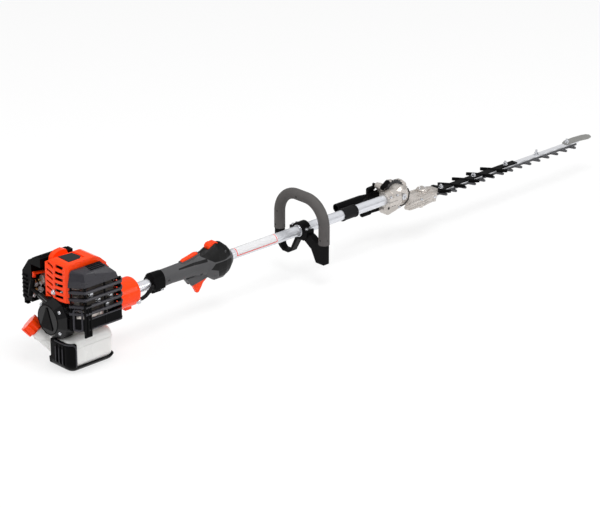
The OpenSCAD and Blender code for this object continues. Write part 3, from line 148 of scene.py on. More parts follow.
def math_node(tree, operation, first, second):
    """Output of a Math node with two inputs."""
    node = tree.nodes.new("ShaderNodeMath")
    node.operation = operation
    link(tree, first, node.inputs[0])
    link(tree, second, node.inputs[1])
    return node.outputs[0]


def map_range(tree, value, source=(0.0, 1.0), target=(0.0, 1.0), interpolation="LINEAR"):
    """Output of a Map Range node."""
    node = tree.nodes.new("ShaderNodeMapRange")
    node.interpolation_type = interpolation
    node.inputs["From Min"].default_value, node.inputs["From Max"].default_value = source
    node.inputs["To Min"].default_value, node.inputs["To Max"].default_value = target
    link(tree, value, node.inputs["Value"])
    return node.outputs["Result"]


def mix_node(tree, factor, first, second):
    """Output of a Mix node for colours."""
    node = tree.nodes.new("ShaderNodeMix")
    node.data_type = "RGBA"
    link(tree, factor, node.inputs["Factor"])
    link(tree, first, node.inputs["A"])
    link(tree, second, node.inputs["B"])
    return node.outputs["Result"]


def grain_group():
    """Fine moulded or cast grain, as a height for a Bump node."""
    g = bpy.data.node_groups.new("Surface grain", "ShaderNodeTree")
    socket(g, "Scale", "INPUT", "NodeSocketFloat", 900.0)
    socket(g, "Detail", "INPUT", "NodeSocketFloat", 3.0)
    socket(g, "Height", "OUTPUT", "NodeSocketFloat")
    n = g.nodes
    gi, go = n.new("NodeGroupInput"), n.new("NodeGroupOutput")
    co = n.new("ShaderNodeTexCoord")
    noise = n.new("ShaderNodeTexNoise")
    cells = n.new("ShaderNodeTexVoronoi")
    mix = n.new("ShaderNodeMath")
    mix.operation = "MULTIPLY_ADD"
    mix.inputs[1].default_value = CELL_SHARE
    link(g, co.outputs["Object"], noise.inputs["Vector"])
    link(g, co.outputs["Object"], cells.inputs["Vector"])
    link(g, gi.outputs["Scale"], noise.inputs["Scale"])
    link(g, gi.outputs["Scale"], cells.inputs["Scale"])
    link(g, gi.outputs["Detail"], noise.inputs["Detail"])
    link(g, cells.outputs["Distance"], mix.inputs[0])
    link(g, noise.outputs["Fac"], mix.inputs[2])
    link(g, mix.outputs[0], go.inputs["Height"])


def tone_group():
    """Slow change of tone over a surface, as handling and dust give."""
    g = bpy.data.node_groups.new("Handled tone", "ShaderNodeTree")
    socket(g, "Base", "INPUT", "NodeSocketColor")
    socket(g, "Worn", "INPUT", "NodeSocketColor")
    socket(g, "Scale", "INPUT", "NodeSocketFloat", 30.0)
    socket(g, "Amount", "INPUT", "NodeSocketFloat", 0.2)
    socket(g, "Colour", "OUTPUT", "NodeSocketColor")
    socket(g, "Mask", "OUTPUT", "NodeSocketFloat")
    n = g.nodes
    gi, go = n.new("NodeGroupInput"), n.new("NodeGroupOutput")
    co = n.new("ShaderNodeTexCoord")
    noise = n.new("ShaderNodeTexNoise")
    noise.inputs["Detail"].default_value = 4.0
    link(g, co.outputs["Object"], noise.inputs["Vector"])
    link(g, gi.outputs["Scale"], noise.inputs["Scale"])
    mask = math_node(g, "MULTIPLY", map_range(g, noise.outputs["Fac"], TONE_RANGE), gi.outputs["Amount"])
    link(g, mix_node(g, mask, gi.outputs["Base"], gi.outputs["Worn"]), go.inputs["Colour"])
    link(g, mask, go.inputs["Mask"])


def edge_group():
    """Rounded corners and a mask of edges, for wear and a painted highlight."""
    g = bpy.data.node_groups.new("Soft edges", "ShaderNodeTree")
    socket(g, "Radius", "INPUT", "NodeSocketFloat", 0.0008)
    socket(g, "Normal", "OUTPUT", "NodeSocketVector")
    socket(g, "Mask", "OUTPUT", "NodeSocketFloat")
    n = g.nodes
    gi, go = n.new("NodeGroupInput"), n.new("NodeGroupOutput")
    bevel = n.new("ShaderNodeBevel")
    bevel.samples = 6
    geometry = n.new("ShaderNodeNewGeometry")
    dot = n.new("ShaderNodeVectorMath")
    dot.operation = "DOT_PRODUCT"
    link(g, gi.outputs["Radius"], bevel.inputs["Radius"])
    link(g, bevel.outputs["Normal"], dot.inputs[0])
    link(g, geometry.outputs["Normal"], dot.inputs[1])
    link(g, bevel.outputs["Normal"], go.inputs["Normal"])
    link(g, map_range(g, dot.outputs["Value"], EDGE_RANGE), go.inputs["Mask"])


def area_group():
    """Mask that is 1 on one side of a plane in object space."""
    g = bpy.data.node_groups.new("Area edge", "ShaderNodeTree")
    socket(g, "Normal", "INPUT", "NodeSocketVector", (0.0, 0.0, 1.0))
    socket(g, "Offset", "INPUT", "NodeSocketFloat", 0.0)
    socket(g, "Mask", "OUTPUT", "NodeSocketFloat")
    n = g.nodes
    gi, go = n.new("NodeGroupInput"), n.new("NodeGroupOutput")
    co = n.new("ShaderNodeTexCoord")
    dot = n.new("ShaderNodeVectorMath")
    dot.operation = "DOT_PRODUCT"
    link(g, co.outputs["Object"], dot.inputs[0])
    link(g, gi.outputs["Normal"], dot.inputs[1])
    past = math_node(g, "SUBTRACT", dot.outputs["Value"], gi.outputs["Offset"])
    link(g, map_range(g, past, (-AREA_BLEND, AREA_BLEND)), go.inputs["Mask"])


def joined(tree, operation, first, second):
    """Two masks as one; the second alone where there is no first."""
    return second if first is None else math_node(tree, operation, first, second)


def side_area(corners):
    """Edges of a convex area in the side view, from corners (x, z) in millimetres, anticlockwise."""
    edges = []
    for a, b in zip(corners, corners[1:] + corners[:1]):
        along = Vector((b[0] - a[0], 0.0, b[1] - a[1])).normalized()
        normal = Vector((-along.z, 0.0, along.x))
        edges.append((tuple(normal), normal.dot(at(a[0], 0, a[1]))))
    return edges


def group_node(tree, name, **values):
    """Puts a shared group into a material, with its constants."""
    node = tree.nodes.new("ShaderNodeGroup")
    node.node_tree = bpy.data.node_groups[name]
    for key, value in values.items():
        node.inputs[key].default_value = value
    return node


def rgba(c, k=1.0):
    """A colour k times as bright, with full alpha."""
    return (min(c[0] * k, 1), min(c[1] * k, 1), min(c[2] * k, 1), 1.0)


def two_colours(t, first, second, areas):
    """The first colour, with the second one in each area that its edges enclose."""
    whole = None
    for edges in areas:
        inside = None
        for normal, offset in edges:
            part = group_node(t, "Area edge", Offset=offset)
            part.inputs["Normal"].default_value = normal
            inside = joined(t, "MULTIPLY", inside, part.outputs["Mask"])
        whole = joined(t, "MAXIMUM", whole, inside)
    return mix_node(t, whole, first, rgba(second))


def finish_material(name, base, rough, metal=0.0, worn=1.35, tone=0.25, tone_scale=28.0, grain=900.0,
                    depth=0.00012, edge=0.0006, edge_light=0.25, specular=0.5, second=None, areas=()):
    """One finish: tone, grain and soft edges from the shared groups, and its own Principled shader."""
    m = bpy.data.materials.new(name)
    m.use_nodes = True
    t = m.node_tree
    p = t.nodes["Principled BSDF"]
    p.inputs["Metallic"].default_value = metal
    p.inputs["Specular IOR Level"].default_value = specular
    tones = group_node(t, "Handled tone", Base=rgba(base), Worn=rgba(base, worn), Scale=tone_scale,
                       Amount=tone)
    edges = group_node(t, "Soft edges", Radius=edge)
    # Edges lighter than the rest of the face: partly wear and ground steel, partly a painted highlight
    edge_wear_and_highlight = math_node(t, "MULTIPLY", edges.outputs["Mask"], edge_light)
    worn_and_highlit_edge = rgba([c * EDGE_GAIN + EDGE_LIFT for c in base])
    base_colour = mix_node(t, edge_wear_and_highlight, tones.outputs["Colour"], worn_and_highlit_edge)
    if areas:
        base_colour = two_colours(t, base_colour, second, areas)
    link(t, base_colour, p.inputs["Base Color"])
    grains = group_node(t, "Surface grain", Scale=grain)
    rough_range = (max(rough - ROUGH_BELOW, ROUGH_LEAST), min(rough + ROUGH_ABOVE, 1.0))
    bump = t.nodes.new("ShaderNodeBump")
    bump.inputs["Distance"].default_value = depth
    bump.inputs["Strength"].default_value = BUMP_STRENGTH
    link(t, edges.outputs["Normal"], bump.inputs["Normal"])
    link(t, grains.outputs["Height"], bump.inputs["Height"])
    link(t, map_range(t, tones.outputs["Mask"], target=rough_range), p.inputs["Roughness"])
    link(t, bump.outputs["Normal"], p.inputs["Normal"])


# ---- Mesh helpers ----

ROUND = 24              # corners of a turned form
SUNK = -0.001           # height at which a screw's flange starts, inside what it holds
MERGE = 0.000002        # points nearer than this become one


def sort_faces(bm):
    """Faces in the order of their centres, since the order that Blender gives can change from run to run."""
    ordered = sorted(bm.faces, key=lambda f: tuple(f.calc_center_median()))
    rank = {f: i for i, f in enumerate(ordered)}
    bm.faces.sort(key=lambda f: rank[f])


def piece(name, bm, finish, body):
    """Turns a bmesh into a piece that rides on a body."""
    bmesh.ops.remove_doubles(bm, verts=bm.verts, dist=MERGE)
    bmesh.ops.recalc_face_normals(bm, faces=bm.faces)
    sort_faces(bm)
    mesh = bpy.data.meshes.new(name)
    bm.to_mesh(mesh)
    bm.free()
    mesh.materials.append(bpy.data.materials[finish])
    o = bpy.data.objects.new(name, mesh)
    bpy.context.scene.collection.objects.link(o)
    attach(o, body)
    return o


def facing(place, direction):
    """Matrix whose Z points along direction, standing at place."""
    turn = Vector(direction).to_track_quat("Z", "Y").to_matrix().to_4x4()
    return Matrix.Translation(Vector(place)) @ turn


def loop(bm, radius, height, count, matrix):
    """A closed loop of edges, round or with few corners."""
    made = bmesh.ops.create_circle(bm, cap_ends=False, segments=count, radius=radius,
                                   matrix=matrix @ Matrix.Translation((0, 0, height)))
    return edges_between(bm, set(made["verts"]))


def edges_between(bm, verts):
    """The edges that have both ends among the verts."""
    return [e for e in bm.edges if e.verts[0] in verts and e.verts[1] in verts]


def skin(bm, rings, closed=False):
    """Faces from ring to ring, and either a cap on both ends or a last band back to the first ring."""
    for a, b in zip(rings, rings[1:]):
        bmesh.ops.bridge_loops(bm, edges=a + b)
    if closed:
        bmesh.ops.bridge_loops(bm, edges=rings[-1] + rings[0])
    else:
        bmesh.ops.holes_fill(bm, edges=rings[0], sides=0)
        bmesh.ops.holes_fill(bm, edges=rings[-1], sides=0)


def stack(bm, loops, matrix):
    """Skins a stack of loops (radius, height, corners) into one closed form."""
    skin(bm, [loop(bm, r, h, n, matrix) for r, h, n in loops])


def screw(bm, place, direction, r):
    """Pan-head screw with a hexagon socket and a washer under it."""
    stack(bm, [(r * 1.25, SUNK, ROUND), (r * 1.25, 0.0004, ROUND), (r * 1.02, 0.0006, ROUND),
               (r, r * 0.35, ROUND), (r * 0.82, r * 0.62, ROUND), (r * 0.5, r * 0.66, 6),
               (r * 0.46, r * 0.2, 6)], facing(place, direction))


def hex_bolt(bm, place, direction, r):
    """Flanged bolt with a hexagon head."""
    stack(bm, [(r * 1.3, SUNK, ROUND), (r * 1.3, 0.0008, ROUND), (r * 1.05, 0.0014, ROUND), (r, 0.0016, 6),
               (r, r * 0.75, 6), (r * 0.86, r * 0.9, 6)], facing(place, direction))


def tube(bm, points, r, sides=12, steps=6, closed=False):
    """Round tube along a smooth line through the points, with so many steps from point to point."""
    pts = [Vector(q) for q in points]
    line = []
    spans = len(pts) if closed else len(pts) - 1
    for i in range(spans):
        if closed:
            a, b, c, d = (pts[(i + k) % len(pts)] for k in (-1, 0, 1, 2))
        else:
            a, b, c, d = pts[max(i - 1, 0)], pts[i], pts[i + 1], pts[min(i + 2, len(pts) - 1)]
        for k in range(steps):
            u = k / steps
            line.append(0.5 * (2 * b + (c - a) * u + (2 * a - 5 * b + 4 * c - d) * u * u
                               + (3 * b - a - 3 * c + d) * u ** 3))
    if not closed:
        line.append(pts[-1])
    rings = []
    side = None
    for i, q in enumerate(line):
        if closed:
            along = line[(i + 1) % len(line)] - line[i - 1]
        else:
            along = line[min(i + 1, len(line) - 1)] - line[max(i - 1, 0)]
        along.normalize()
        if side is None:
            side = along.orthogonal().normalized()
        else:
            side = (side - along * side.dot(along)).normalized()
        m = Matrix((side, along.cross(side), along)).transposed().to_4x4()
        rings.append(loop(bm, r, 0.0, sides, Matrix.Translation(q) @ m))
    skin(bm, rings, closed)


def slab(bm, outline, thickness, matrix, bevel):
    """Flat plate from its outline, in the matrix's XY plane, with softened upper edges."""
    verts = [bm.verts.new(matrix @ Vector((x, y, 0.0))) for x, y in outline]
    face = bm.faces.new(verts)
    up = matrix.to_3x3() @ Vector(UP)
    if face.normal.dot(up) > 0:
        face.normal_flip()
    made = bmesh.ops.extrude_face_region(bm, geom=[face])
    top = [v for v in made["geom"] if isinstance(v, bmesh.types.BMVert)]
    bmesh.ops.translate(bm, verts=top, vec=up * thickness)
    bmesh.ops.bevel(bm, geom=edges_between(bm, set(top)), offset=bevel, segments=3, affect="EDGES",
                    profile=0.5, material=-1)


def upright(x, y):
    """Matrix with its XY plane standing along the tube and its Z to the right; x and y in millimetres."""
    return Matrix.Translation(at(x, y, 0)) @ Matrix.Rotation(math.pi / 2, 4, "X")


def ring_round_axis(x, r, count):
    """Points of a ring round the drive tube's axis, at x; x and r in millimetres."""
    turns = [i * math.pi / (count / 2) for i in range(count)]
    return [at(x, r * math.cos(a), r * math.sin(a)) for a in turns]


def applied(o):
    """The object's modifiers become its mesh."""
    graph = bpy.context.evaluated_depsgraph_get()
    mesh = bpy.data.meshes.new_from_object(o.evaluated_get(graph))
    o.modifiers.clear()
    o.data = mesh
    for f in mesh.polygons:
        f.use_smooth = True


def surface_tree(node):
    """Search tree of a CAD node's surface."""
    bm = bmesh.new()
    bm.from_mesh(NODES[node].data)
    tree = BVHTree.FromBMesh(bm)
    bm.free()
    return tree


def on_surface(tree, start, direction):
    """Point and normal where a line from start first meets the surface."""
    hit, normal, _, _ = tree.ray_cast(Vector(start), Vector(direction).normalized())
    if hit is None:
        raise RuntimeError(f"no surface from {tuple(start)} along {tuple(direction)}")
    return hit, normal


def bead(bm, tree, starts, direction, r, sink=0.35):
    """Raised line that follows a CAD surface under the starting points, with a share of it sunk in."""
    line = []
    for q in starts:
        hit, normal = on_surface(tree, q, direction)
        line.append(hit + normal * (r * (1.0 - 2.0 * sink)))
    tube(bm, line, r, sides=8, steps=2)


NODE_FINISH = {
    "Orange plastic": ["clutch_collar", "engine_cover", "choke_lever", "fuel_cap", "throttle_trigger",
                       "throttle_lockout", "stop_switch"],
    "Satin black and painted highlight": ["muffler_shield"],
    "Smooth black": ["starter_case"],
    "Black plastic": ["starter_handle", "starter_reel", "exhaust_guard", "intake_block",
                      "air_cleaner_base", "air_cleaner_cover", "tank_skid", "grip_cap", "handle_base",
                      "handle_clamp", "handle_core", "shaft_bushes", "adjust_handle", "lock_pawl",
                      "release_lever", "tooth_guard"],
    "Grip plastic": ["grip_left", "grip_right"],
    "Foam sleeve": ["handle_foam"],
    "Rubber": ["storage_ring", "throttle_conduit", "primer_bulb"],
    "Tank plastic": ["fuel_tank"],
    "Cast alloy": ["crankcase", "cylinder_block", "flywheel", "carburetor", "fixed_head", "gear_case",
                   "gear_case_lid", "piston"],
    "Drawn tube": ["drive_tube"],
    "Bright steel": ["crank_bearings", "crankshaft", "clutch_drum", "spark_plug", "conduit_clip",
                     "handle_bolts", "clamp_bolts", "pivot_bolt", "bar_bolts"],
    "Bar steel": ["guide_bar"],
    "Blade steel": ["upper_blade", "lower_blade"],
    "Dark steel": ["clutch_shoes", "drive_shaft", "index_plate", "pivot_gear", "crank_gear"],
    "Tip guard paint": ["tip_guard"],
    "Heated steel in painted shade": ["muffler"],
}

# Black areas on the sides of the grip: switch housing, its lower side, its underside, and the long inlay
GRIP_BLACK_AREAS = (
    [(352, 28), (386, 7), (414, 6), (437, 12), (437, 70), (362, 70)],
    [(376, -10), (397, -17), (440, -17), (440, 5), (388, 3)],
    [(397, -17), (403, -36), (440, -36), (440, -17)],
    [(283, 15), (366, 13), (366, 21), (283, 18)],
)


class TRIMMER_OT_finishes(bpy.types.Operator):
    """Makes the finishes and puts each one on its solids"""
    bl_idname = "trimmer.finishes"
    bl_label = "Finishes"

    def execute(self, context):
        c = context.scene.trimmer_colours
        for make in (grain_group, tone_group, edge_group, area_group):
            make()
        finish_material("Orange plastic", c.orange, 0.28, worn=1.06, tone=0.4, grain=700, depth=0.00004,
                        edge=0.0009, edge_light=0.06, specular=0.2)
        finish_material("Black plastic", c.black, 0.38, worn=1.8, tone=0.35, grain=1100, depth=0.0001,
                        edge=0.0008, edge_light=0.1, specular=0.05)
        finish_material("Smooth black", [v * 1.6 for v in c.black], 0.22, worn=1.8, tone=0.35, grain=900,
                        depth=0.00004, edge=0.001, edge_light=0.12, specular=0.26)
        # Lighter black: the shield's own tone, and a painted highlight where it lies on black parts' fronts,
        # rims and lips
        finish_material("Satin black and painted highlight", c.satin, 0.34, worn=1.3, tone=0.4, grain=900, depth=0.00006,
                        edge=0.001, edge_light=0.12, specular=0.3)
        finish_material("Grip plastic", c.grip, 0.5, worn=1.2, tone=0.35, grain=1400, depth=0.00012,
                        edge=0.001, edge_light=0.12, specular=0.2, second=c.black,
                        areas=[side_area(corners) for corners in GRIP_BLACK_AREAS])
        finish_material("Foam sleeve", c.foam, 0.85, worn=1.2, tone=0.5, tone_scale=60, grain=1500,
                        depth=0.0003, edge=0.001, edge_light=0.08, specular=0.2)
        finish_material("Rubber", c.rubber, 0.6, worn=1.8, tone=0.3, grain=900, depth=0.0001, edge_light=0.1,
                        specular=0.12)
        finish_material("Brass", c.brass, 0.3, metal=0.8, worn=0.8, tone=0.4, grain=900, depth=0.00003)
        finish_material("Tank plastic", c.tank, 0.32, worn=0.95, tone=0.5, tone_scale=18, grain=500,
                        depth=0.00003, edge_light=0.08, specular=0.4)
        finish_material("Cast alloy", c.cast, 0.33, metal=0.62, worn=0.82, tone=0.4, tone_scale=30, grain=700,
                        depth=0.00005, edge=0.001, edge_light=0.5)
        finish_material("Drawn tube", c.tube, 0.22, metal=0.5, worn=0.96, tone=0.3, grain=300, depth=0.00001,
                        edge_light=0.2)
        finish_material("Bright steel", c.steel, 0.3, metal=0.8, worn=0.85, tone=0.4, grain=900,
                        depth=0.00004, edge_light=0.4)
        finish_material("Bar steel", c.bar, 0.38, metal=0.35, worn=0.92, tone=0.4, tone_scale=20, grain=900,
                        depth=0.00002, edge=0.0004, edge_light=0.3)
        finish_material("Blade steel", c.blade, 0.3, metal=0.6, worn=0.8, tone=0.4, tone_scale=20, grain=900,
                        depth=0.00003, edge=0.0007, edge_light=2.2)
        finish_material("Dark steel", c.dark_steel, 0.4, metal=0.7, worn=1.5, grain=900, edge_light=0.4)
        finish_material("Tip guard paint", c.tip, 0.45, worn=1.2, grain=1200, depth=0.0001, edge_light=0.3)
        # Silencer's heat tint, with painted shade from the guard in front of it
        finish_material("Heated steel in painted shade", c.exhaust, 0.5, metal=0.6, worn=1.8, tone=0.8, tone_scale=50)
        finish_material("Hose", c.hose, 0.35, worn=1.4, tone=0.4, grain=600, depth=0.00004, edge_light=0.1)
        finish_material("Film", c.film, 0.25, worn=0.97, tone=0.3, grain=400, depth=0.00001, edge=0.0002,
                        edge_light=0.05)
        finish_material("Film border", c.border, 0.35, worn=1.03, tone=0.2, grain=400, depth=0.00001,
                        edge=0.0002, edge_light=0.0, specular=0.2)
        for finish, nodes in NODE_FINISH.items():
            for name in nodes:
                for s in NODES[name].material_slots:
                    s.material = bpy.data.materials[finish]
        return {"FINISHED"}


# ---- Engine ----
# Places are in millimetres unless a size says otherwise, with z from the drive tube's axis.

BEHIND, ABOVE = -130, 160       # where lines that look for a surface start
SILENCER_FACE_Y = -71.3
STARTER_SCREW_CIRCLE = 40
RAIL_R = 0.0038                 # round fronts of the guard's slats
SLAT_HEIGHTS = (24.3, 41.4, 58.4, 75.5)
WALL_RIM_HEIGHTS = (10.6, -14.2)
SEAM_H = 0.052                  # height of the tank's seam over its underside
SEAM_CENTRE_X = -0.005
SEAM_STEP = 2.6                 # degrees
SEAM_FAR_OUT = 0.2              # where lines that look for the tank's wall start
TANK_MERGE = 0.00004            # points of the tank nearer than this become one
TANK_VOXEL = 0.0022
INNER_WALL_Y = 79.4             # the air cleaner base's inner wall


def engine_screws(sizes, starter):
    """Bolts of the cover, silencer and collar, and the starter's screws."""
    bm = bmesh.new()
    hex_bolt(bm, at(-73, -4, 63), BACKWARD, sizes.bolt_r)
    for x, z in ((-3, 46), (31, 47), (-24, 66), (20, 30)):
        hex_bolt(bm, at(x, SILENCER_FACE_Y, z), RIGHT, sizes.bolt_r * 1.15)
    for turn in (38, 142, 218, 322):
        a = math.radians(turn)
        y, z = STARTER_SCREW_CIRCLE * math.cos(a), STARTER_SCREW_CIRCLE * math.sin(a)
        hit, _ = on_surface(starter, at(BEHIND, y, z), FORWARD)
        screw(bm, hit, BACKWARD, sizes.screw_r)
    hit, _ = on_surface(surface_tree("clutch_collar"), at(149, -80, -18), LEFT)
    hex_bolt(bm, hit, RIGHT, sizes.bolt_r * 1.1)
    piece("engine_screws", bm, "Bright steel", "engine")


def cover_beads():
    """Beads on the silencer's shield and on the air cleaner's top and rear."""
    bm = bmesh.new()
    shield = surface_tree("muffler_shield")
    for y in (-53, -58, -63, -68):
        bead(bm, shield, [at(x, y, ABOVE) for x in range(-20, 22, 5)], DOWN, 0.0015)
    cleaner = surface_tree("air_cleaner_cover")
    for y in (51, 57, 66, 73, 80, 92, 100):
        bead(bm, cleaner, [at(x, y, ABOVE) for x in range(-64, 21, 7)], DOWN, 0.0010)
    for z in range(20, 80, 10):
        bead(bm, cleaner, [at(BEHIND, y, z) for y in (95, 100, 105, 110)], FORWARD, 0.0024)
    piece("cover_beads", bm, "Black plastic", "engine")


def slat_fronts():
    """Round fronts of the exhaust guard's slats, lighter than the guard as a painted highlight."""
    bm = bmesh.new()
    for z in SLAT_HEIGHTS:
        line = [at(-67, -51, z), at(-57, -65, z), at(-47, -79.5, z), at(-41, -80.5, z), at(0, -80.8, z),
                at(50, -80.8, z), at(56, -78, z), at(64, -70, z + 0.5), at(65.5, -62, z + 0.5)]
        tube(bm, line, RAIL_R, sides=10, steps=3)
    piece("slat_fronts", bm, "Satin black and painted highlight", "engine")


def guard_rims():
    """Rims along the guard's lower wall, and the frame on its rear facet, lighter than the guard as a painted
    highlight.
    """
    bm = bmesh.new()
    for z in WALL_RIM_HEIGHTS:
        line = [at(-38, -80.9, z), at(0, -80.9, z), at(50, -80.9, z), at(56, -78.4, z),
                at(64, -70, z), at(65.5, -62, z)]
        tube(bm, line, 0.0020, sides=10, steps=3)
    near, far = (-62.4, -59.2), (-51.4, -75.2)
    near_corner, far_corner = (-60.4, -62.1), (-53.4, -72.3)
    frame_line = [at(*near, -10), at(*near, 10), at(*near, 30), at(*near_corner, 34), at(*far_corner, 34),
                  at(*far, 30), at(*far, 10), at(*far, -10), at(*far_corner, -14), at(*near_corner, -14)]
    tube(bm, frame_line, 0.0026, sides=10, steps=3, closed=True)
    piece("guard_rims", bm, "Satin black and painted highlight", "engine")


def skid_lip():
    """Lip round the skid's rear guard, and the beads between its grooves, lighter than the skid as a painted
    highlight.
    """
    bm = bmesh.new()
    lip = [(-57.2, -56.9, -106), (-57.2, -56.9, -84), (-57.2, -56.9, -62), (-61.5, -54.6, -54),
           (-68.4, -49.1, -53), (-72.8, -41.4, -53), (-74.0, -32, -53), (-74.0, -18, -53), (-74.0, -2, -53)]
    tube(bm, [at(*q) for q in lip], 0.0017, sides=10, steps=3)
    skid = surface_tree("tank_skid")
    for y in (-6, -18, -30):
        bead(bm, skid, [at(BEHIND, y, z) for z in range(-102, -60, 6)], FORWARD, 0.0014)
    piece("skid_lip", bm, "Satin black and painted highlight", "engine")


def plates(starter):
    """Baffle between silencer and collar, bare plate on the cover's top, and bare panel of the starter."""
    bm = bmesh.new()
    slab(bm, [(0.040, -0.012), (0.0595, -0.012), (0.0595, 0.084), (0.046, 0.084), (0.040, 0.060)],
         0.0012, upright(0, -51), 0.0004)
    piece("heat_baffle", bm, "Black plastic", "engine")

    bm = bmesh.new()
    slab(bm, [(-0.049, -0.031), (-0.018, -0.031), (-0.008, -0.022), (-0.010, 0.006), (-0.047, 0.010)],
         0.0012, Matrix.Translation(at(0, 0, 135.5)), 0.0004)
    piece("cover_plate", bm, "Smooth black", "engine")

    # The panel's outline lies in the starter's face, with the rim round it
    bm = bmesh.new()
    hit, _ = on_surface(starter, at(BEHIND, 4, 0), FORWARD)
    facing_back = Matrix(((0, 0, -1, 0), (-1, 0, 0, 0), (0, 1, 0, 0), (0, 0, 0, 1)))
    slab(bm, [(-0.004, 0.029), (-0.0235, -0.019), (-0.0205, -0.0235), (0.016, -0.0225), (0.0185, -0.018),
              (0.001, 0.0295)], 0.0022, Matrix.Translation((hit.x + 0.0002, 0, AXIS_H)) @ facing_back, 0.0012)
    tube(bm, ring_round_axis(-88.4, 34, 40), 0.0015, sides=8, steps=1, closed=True)
    piece("starter_panel", bm, "Black plastic", "engine")


def tank_seam(tank):
    """Moulding seam round the tank."""
    bm = bmesh.new()
    z = Vector(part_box("fuel_tank")[0]).z + SEAM_H
    line = []
    for k in range(15, 132):
        a = math.radians(k * SEAM_STEP - 180)
        d = Vector((math.cos(a), math.sin(a), 0))
        hit, _ = on_surface(tank, Vector((SEAM_CENTRE_X, 0, z)) + d * SEAM_FAR_OUT, -d)
        line.append(hit)
    tube(bm, line, 0.0009, sides=8, steps=1)
    piece("tank_seam", bm, "Tank plastic", "engine")


def soft_tank():
    """The tank with blown plastic's soft corners, in place of the solid's surface."""
    bm = bmesh.new()
    bm.from_mesh(NODES["fuel_tank"].data)
    bmesh.ops.remove_doubles(bm, verts=bm.verts, dist=TANK_MERGE)
    o = piece("soft_tank", bm, "Tank plastic", "engine")
    remesh = o.modifiers.new("Voxels", "REMESH")
    remesh.mode = "VOXEL"
    remesh.voxel_size = TANK_VOXEL
    remesh.use_smooth_shade = True
    smooth = o.modifiers.new("Soft corners", "SMOOTH")
    smooth.iterations = 24
    smooth.factor = 0.7
    applied(o)
    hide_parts("fuel_tank")


def fuel_hoses(sizes, tank):
    """Fuel hoses from the tank's grommets to the carburetor."""
    bm = bmesh.new()
    grommets = bmesh.new()
    for x, end in ((-14, (-20, 62)), (-30, (-33, 69))):
        hit, _ = on_surface(tank, at(x, 42, 0), DOWN)
        tube(bm, [hit - Vector((0, 0, 0.001)), hit + Vector((0.001, 0.001, 0.012)), at(x + 3, 52, 4),
                  at(end[0] + 3, 58, 26), at(*end, 38), at(*end, 44.5)], sizes.hose_r)
        stack(grommets, [(0.006, -0.002, ROUND), (0.006, 0.0016, ROUND), (0.0045, 0.0032, ROUND),
                         (0.0032, 0.0036, ROUND)], facing(hit, UP))
    piece("fuel_hoses", bm, "Hose", "engine")
    piece("tank_grommets", grommets, "Rubber", "engine")


class TRIMMER_OT_engine_fittings(bpy.types.Operator):
    """Bolts, beads, seams, panels and hoses of the engine"""
    bl_idname = "trimmer.engine_fittings"
    bl_label = "Engine fittings"

    def execute(self, context):
        sizes = context.scene.trimmer_sizes
        starter = surface_tree("starter_case")
        tank = surface_tree("fuel_tank")
        engine_screws(sizes, starter)
        cover_beads()
        slat_fronts()
        guard_rims()
        skid_lip()
        plates(starter)
        tank_seam(tank)
        soft_tank()
        fuel_hoses(sizes, tank)
        return {"FINISHED"}


class TRIMMER_OT_intake_fittings(bpy.types.Operator):
    """Bolts, throttle spring, rod and jets beside the carburetor"""
    bl_idname = "trimmer.intake_fittings"
    bl_label = "Intake fittings"

    def execute(self, context):
        sizes = context.scene.trimmer_sizes
        bm = bmesh.new()
        for x, z, r in ((-57, 52, 1.0), (-63, 27, 0.8), (-44, 32, 0.8)):
            hex_bolt(bm, at(x, INNER_WALL_Y, z), RIGHT, sizes.bolt_r * r)
        # Throttle spring, six turns of twelve steps, and its rod
        coil = []
        for i in range(73):
            a = i * math.pi / 6
            coil.append(at(-50 + 3.2 * math.cos(a), INNER_WALL_Y - 2 - i * 0.19, 42 + 3.2 * math.sin(a)))
        tube(bm, coil, 0.0006, sides=6, steps=1)
        tube(bm, [at(-66, INNER_WALL_Y - 1, 36), at(-64, 74, 37), at(-58, 70, 41), at(-54, 66, 50),
                  at(-54, 62, 58)], 0.0011, sides=8)
        piece("throttle_link", bm, "Bright steel", "engine")
        bm = bmesh.new()
        for x, z, high in ((-49, 61, 0.009), (-62, 62, 0.005), (-58, 40, 0.006)):
            stack(bm, [(0.0036, -0.0005, ROUND), (0.0036, 0.0030, ROUND), (0.0028, 0.0036, ROUND),
                       (0.0028, high, ROUND), (0.0020, high + 0.0007, ROUND)],
                  facing(at(x, INNER_WALL_Y, z), RIGHT))
        piece("jets", bm, "Brass", "engine")
        return {"FINISHED"}


# ---- Grip, loop handle and tube ----

# Foam sleeve's vents: where a line to each one starts, and its way
FOAM_VENTS = (
    (600, 5.6, 85, FORWARD), (600, 72.7, 30, FORWARD), (600, 77.6, -6, FORWARD), (685.5, 0, -8, LEFT),
    (600, -74, 36, FORWARD), (600, -77.5, -3, FORWARD), (683, -120, -3, LEFT), (690, -120, 30, LEFT),
)


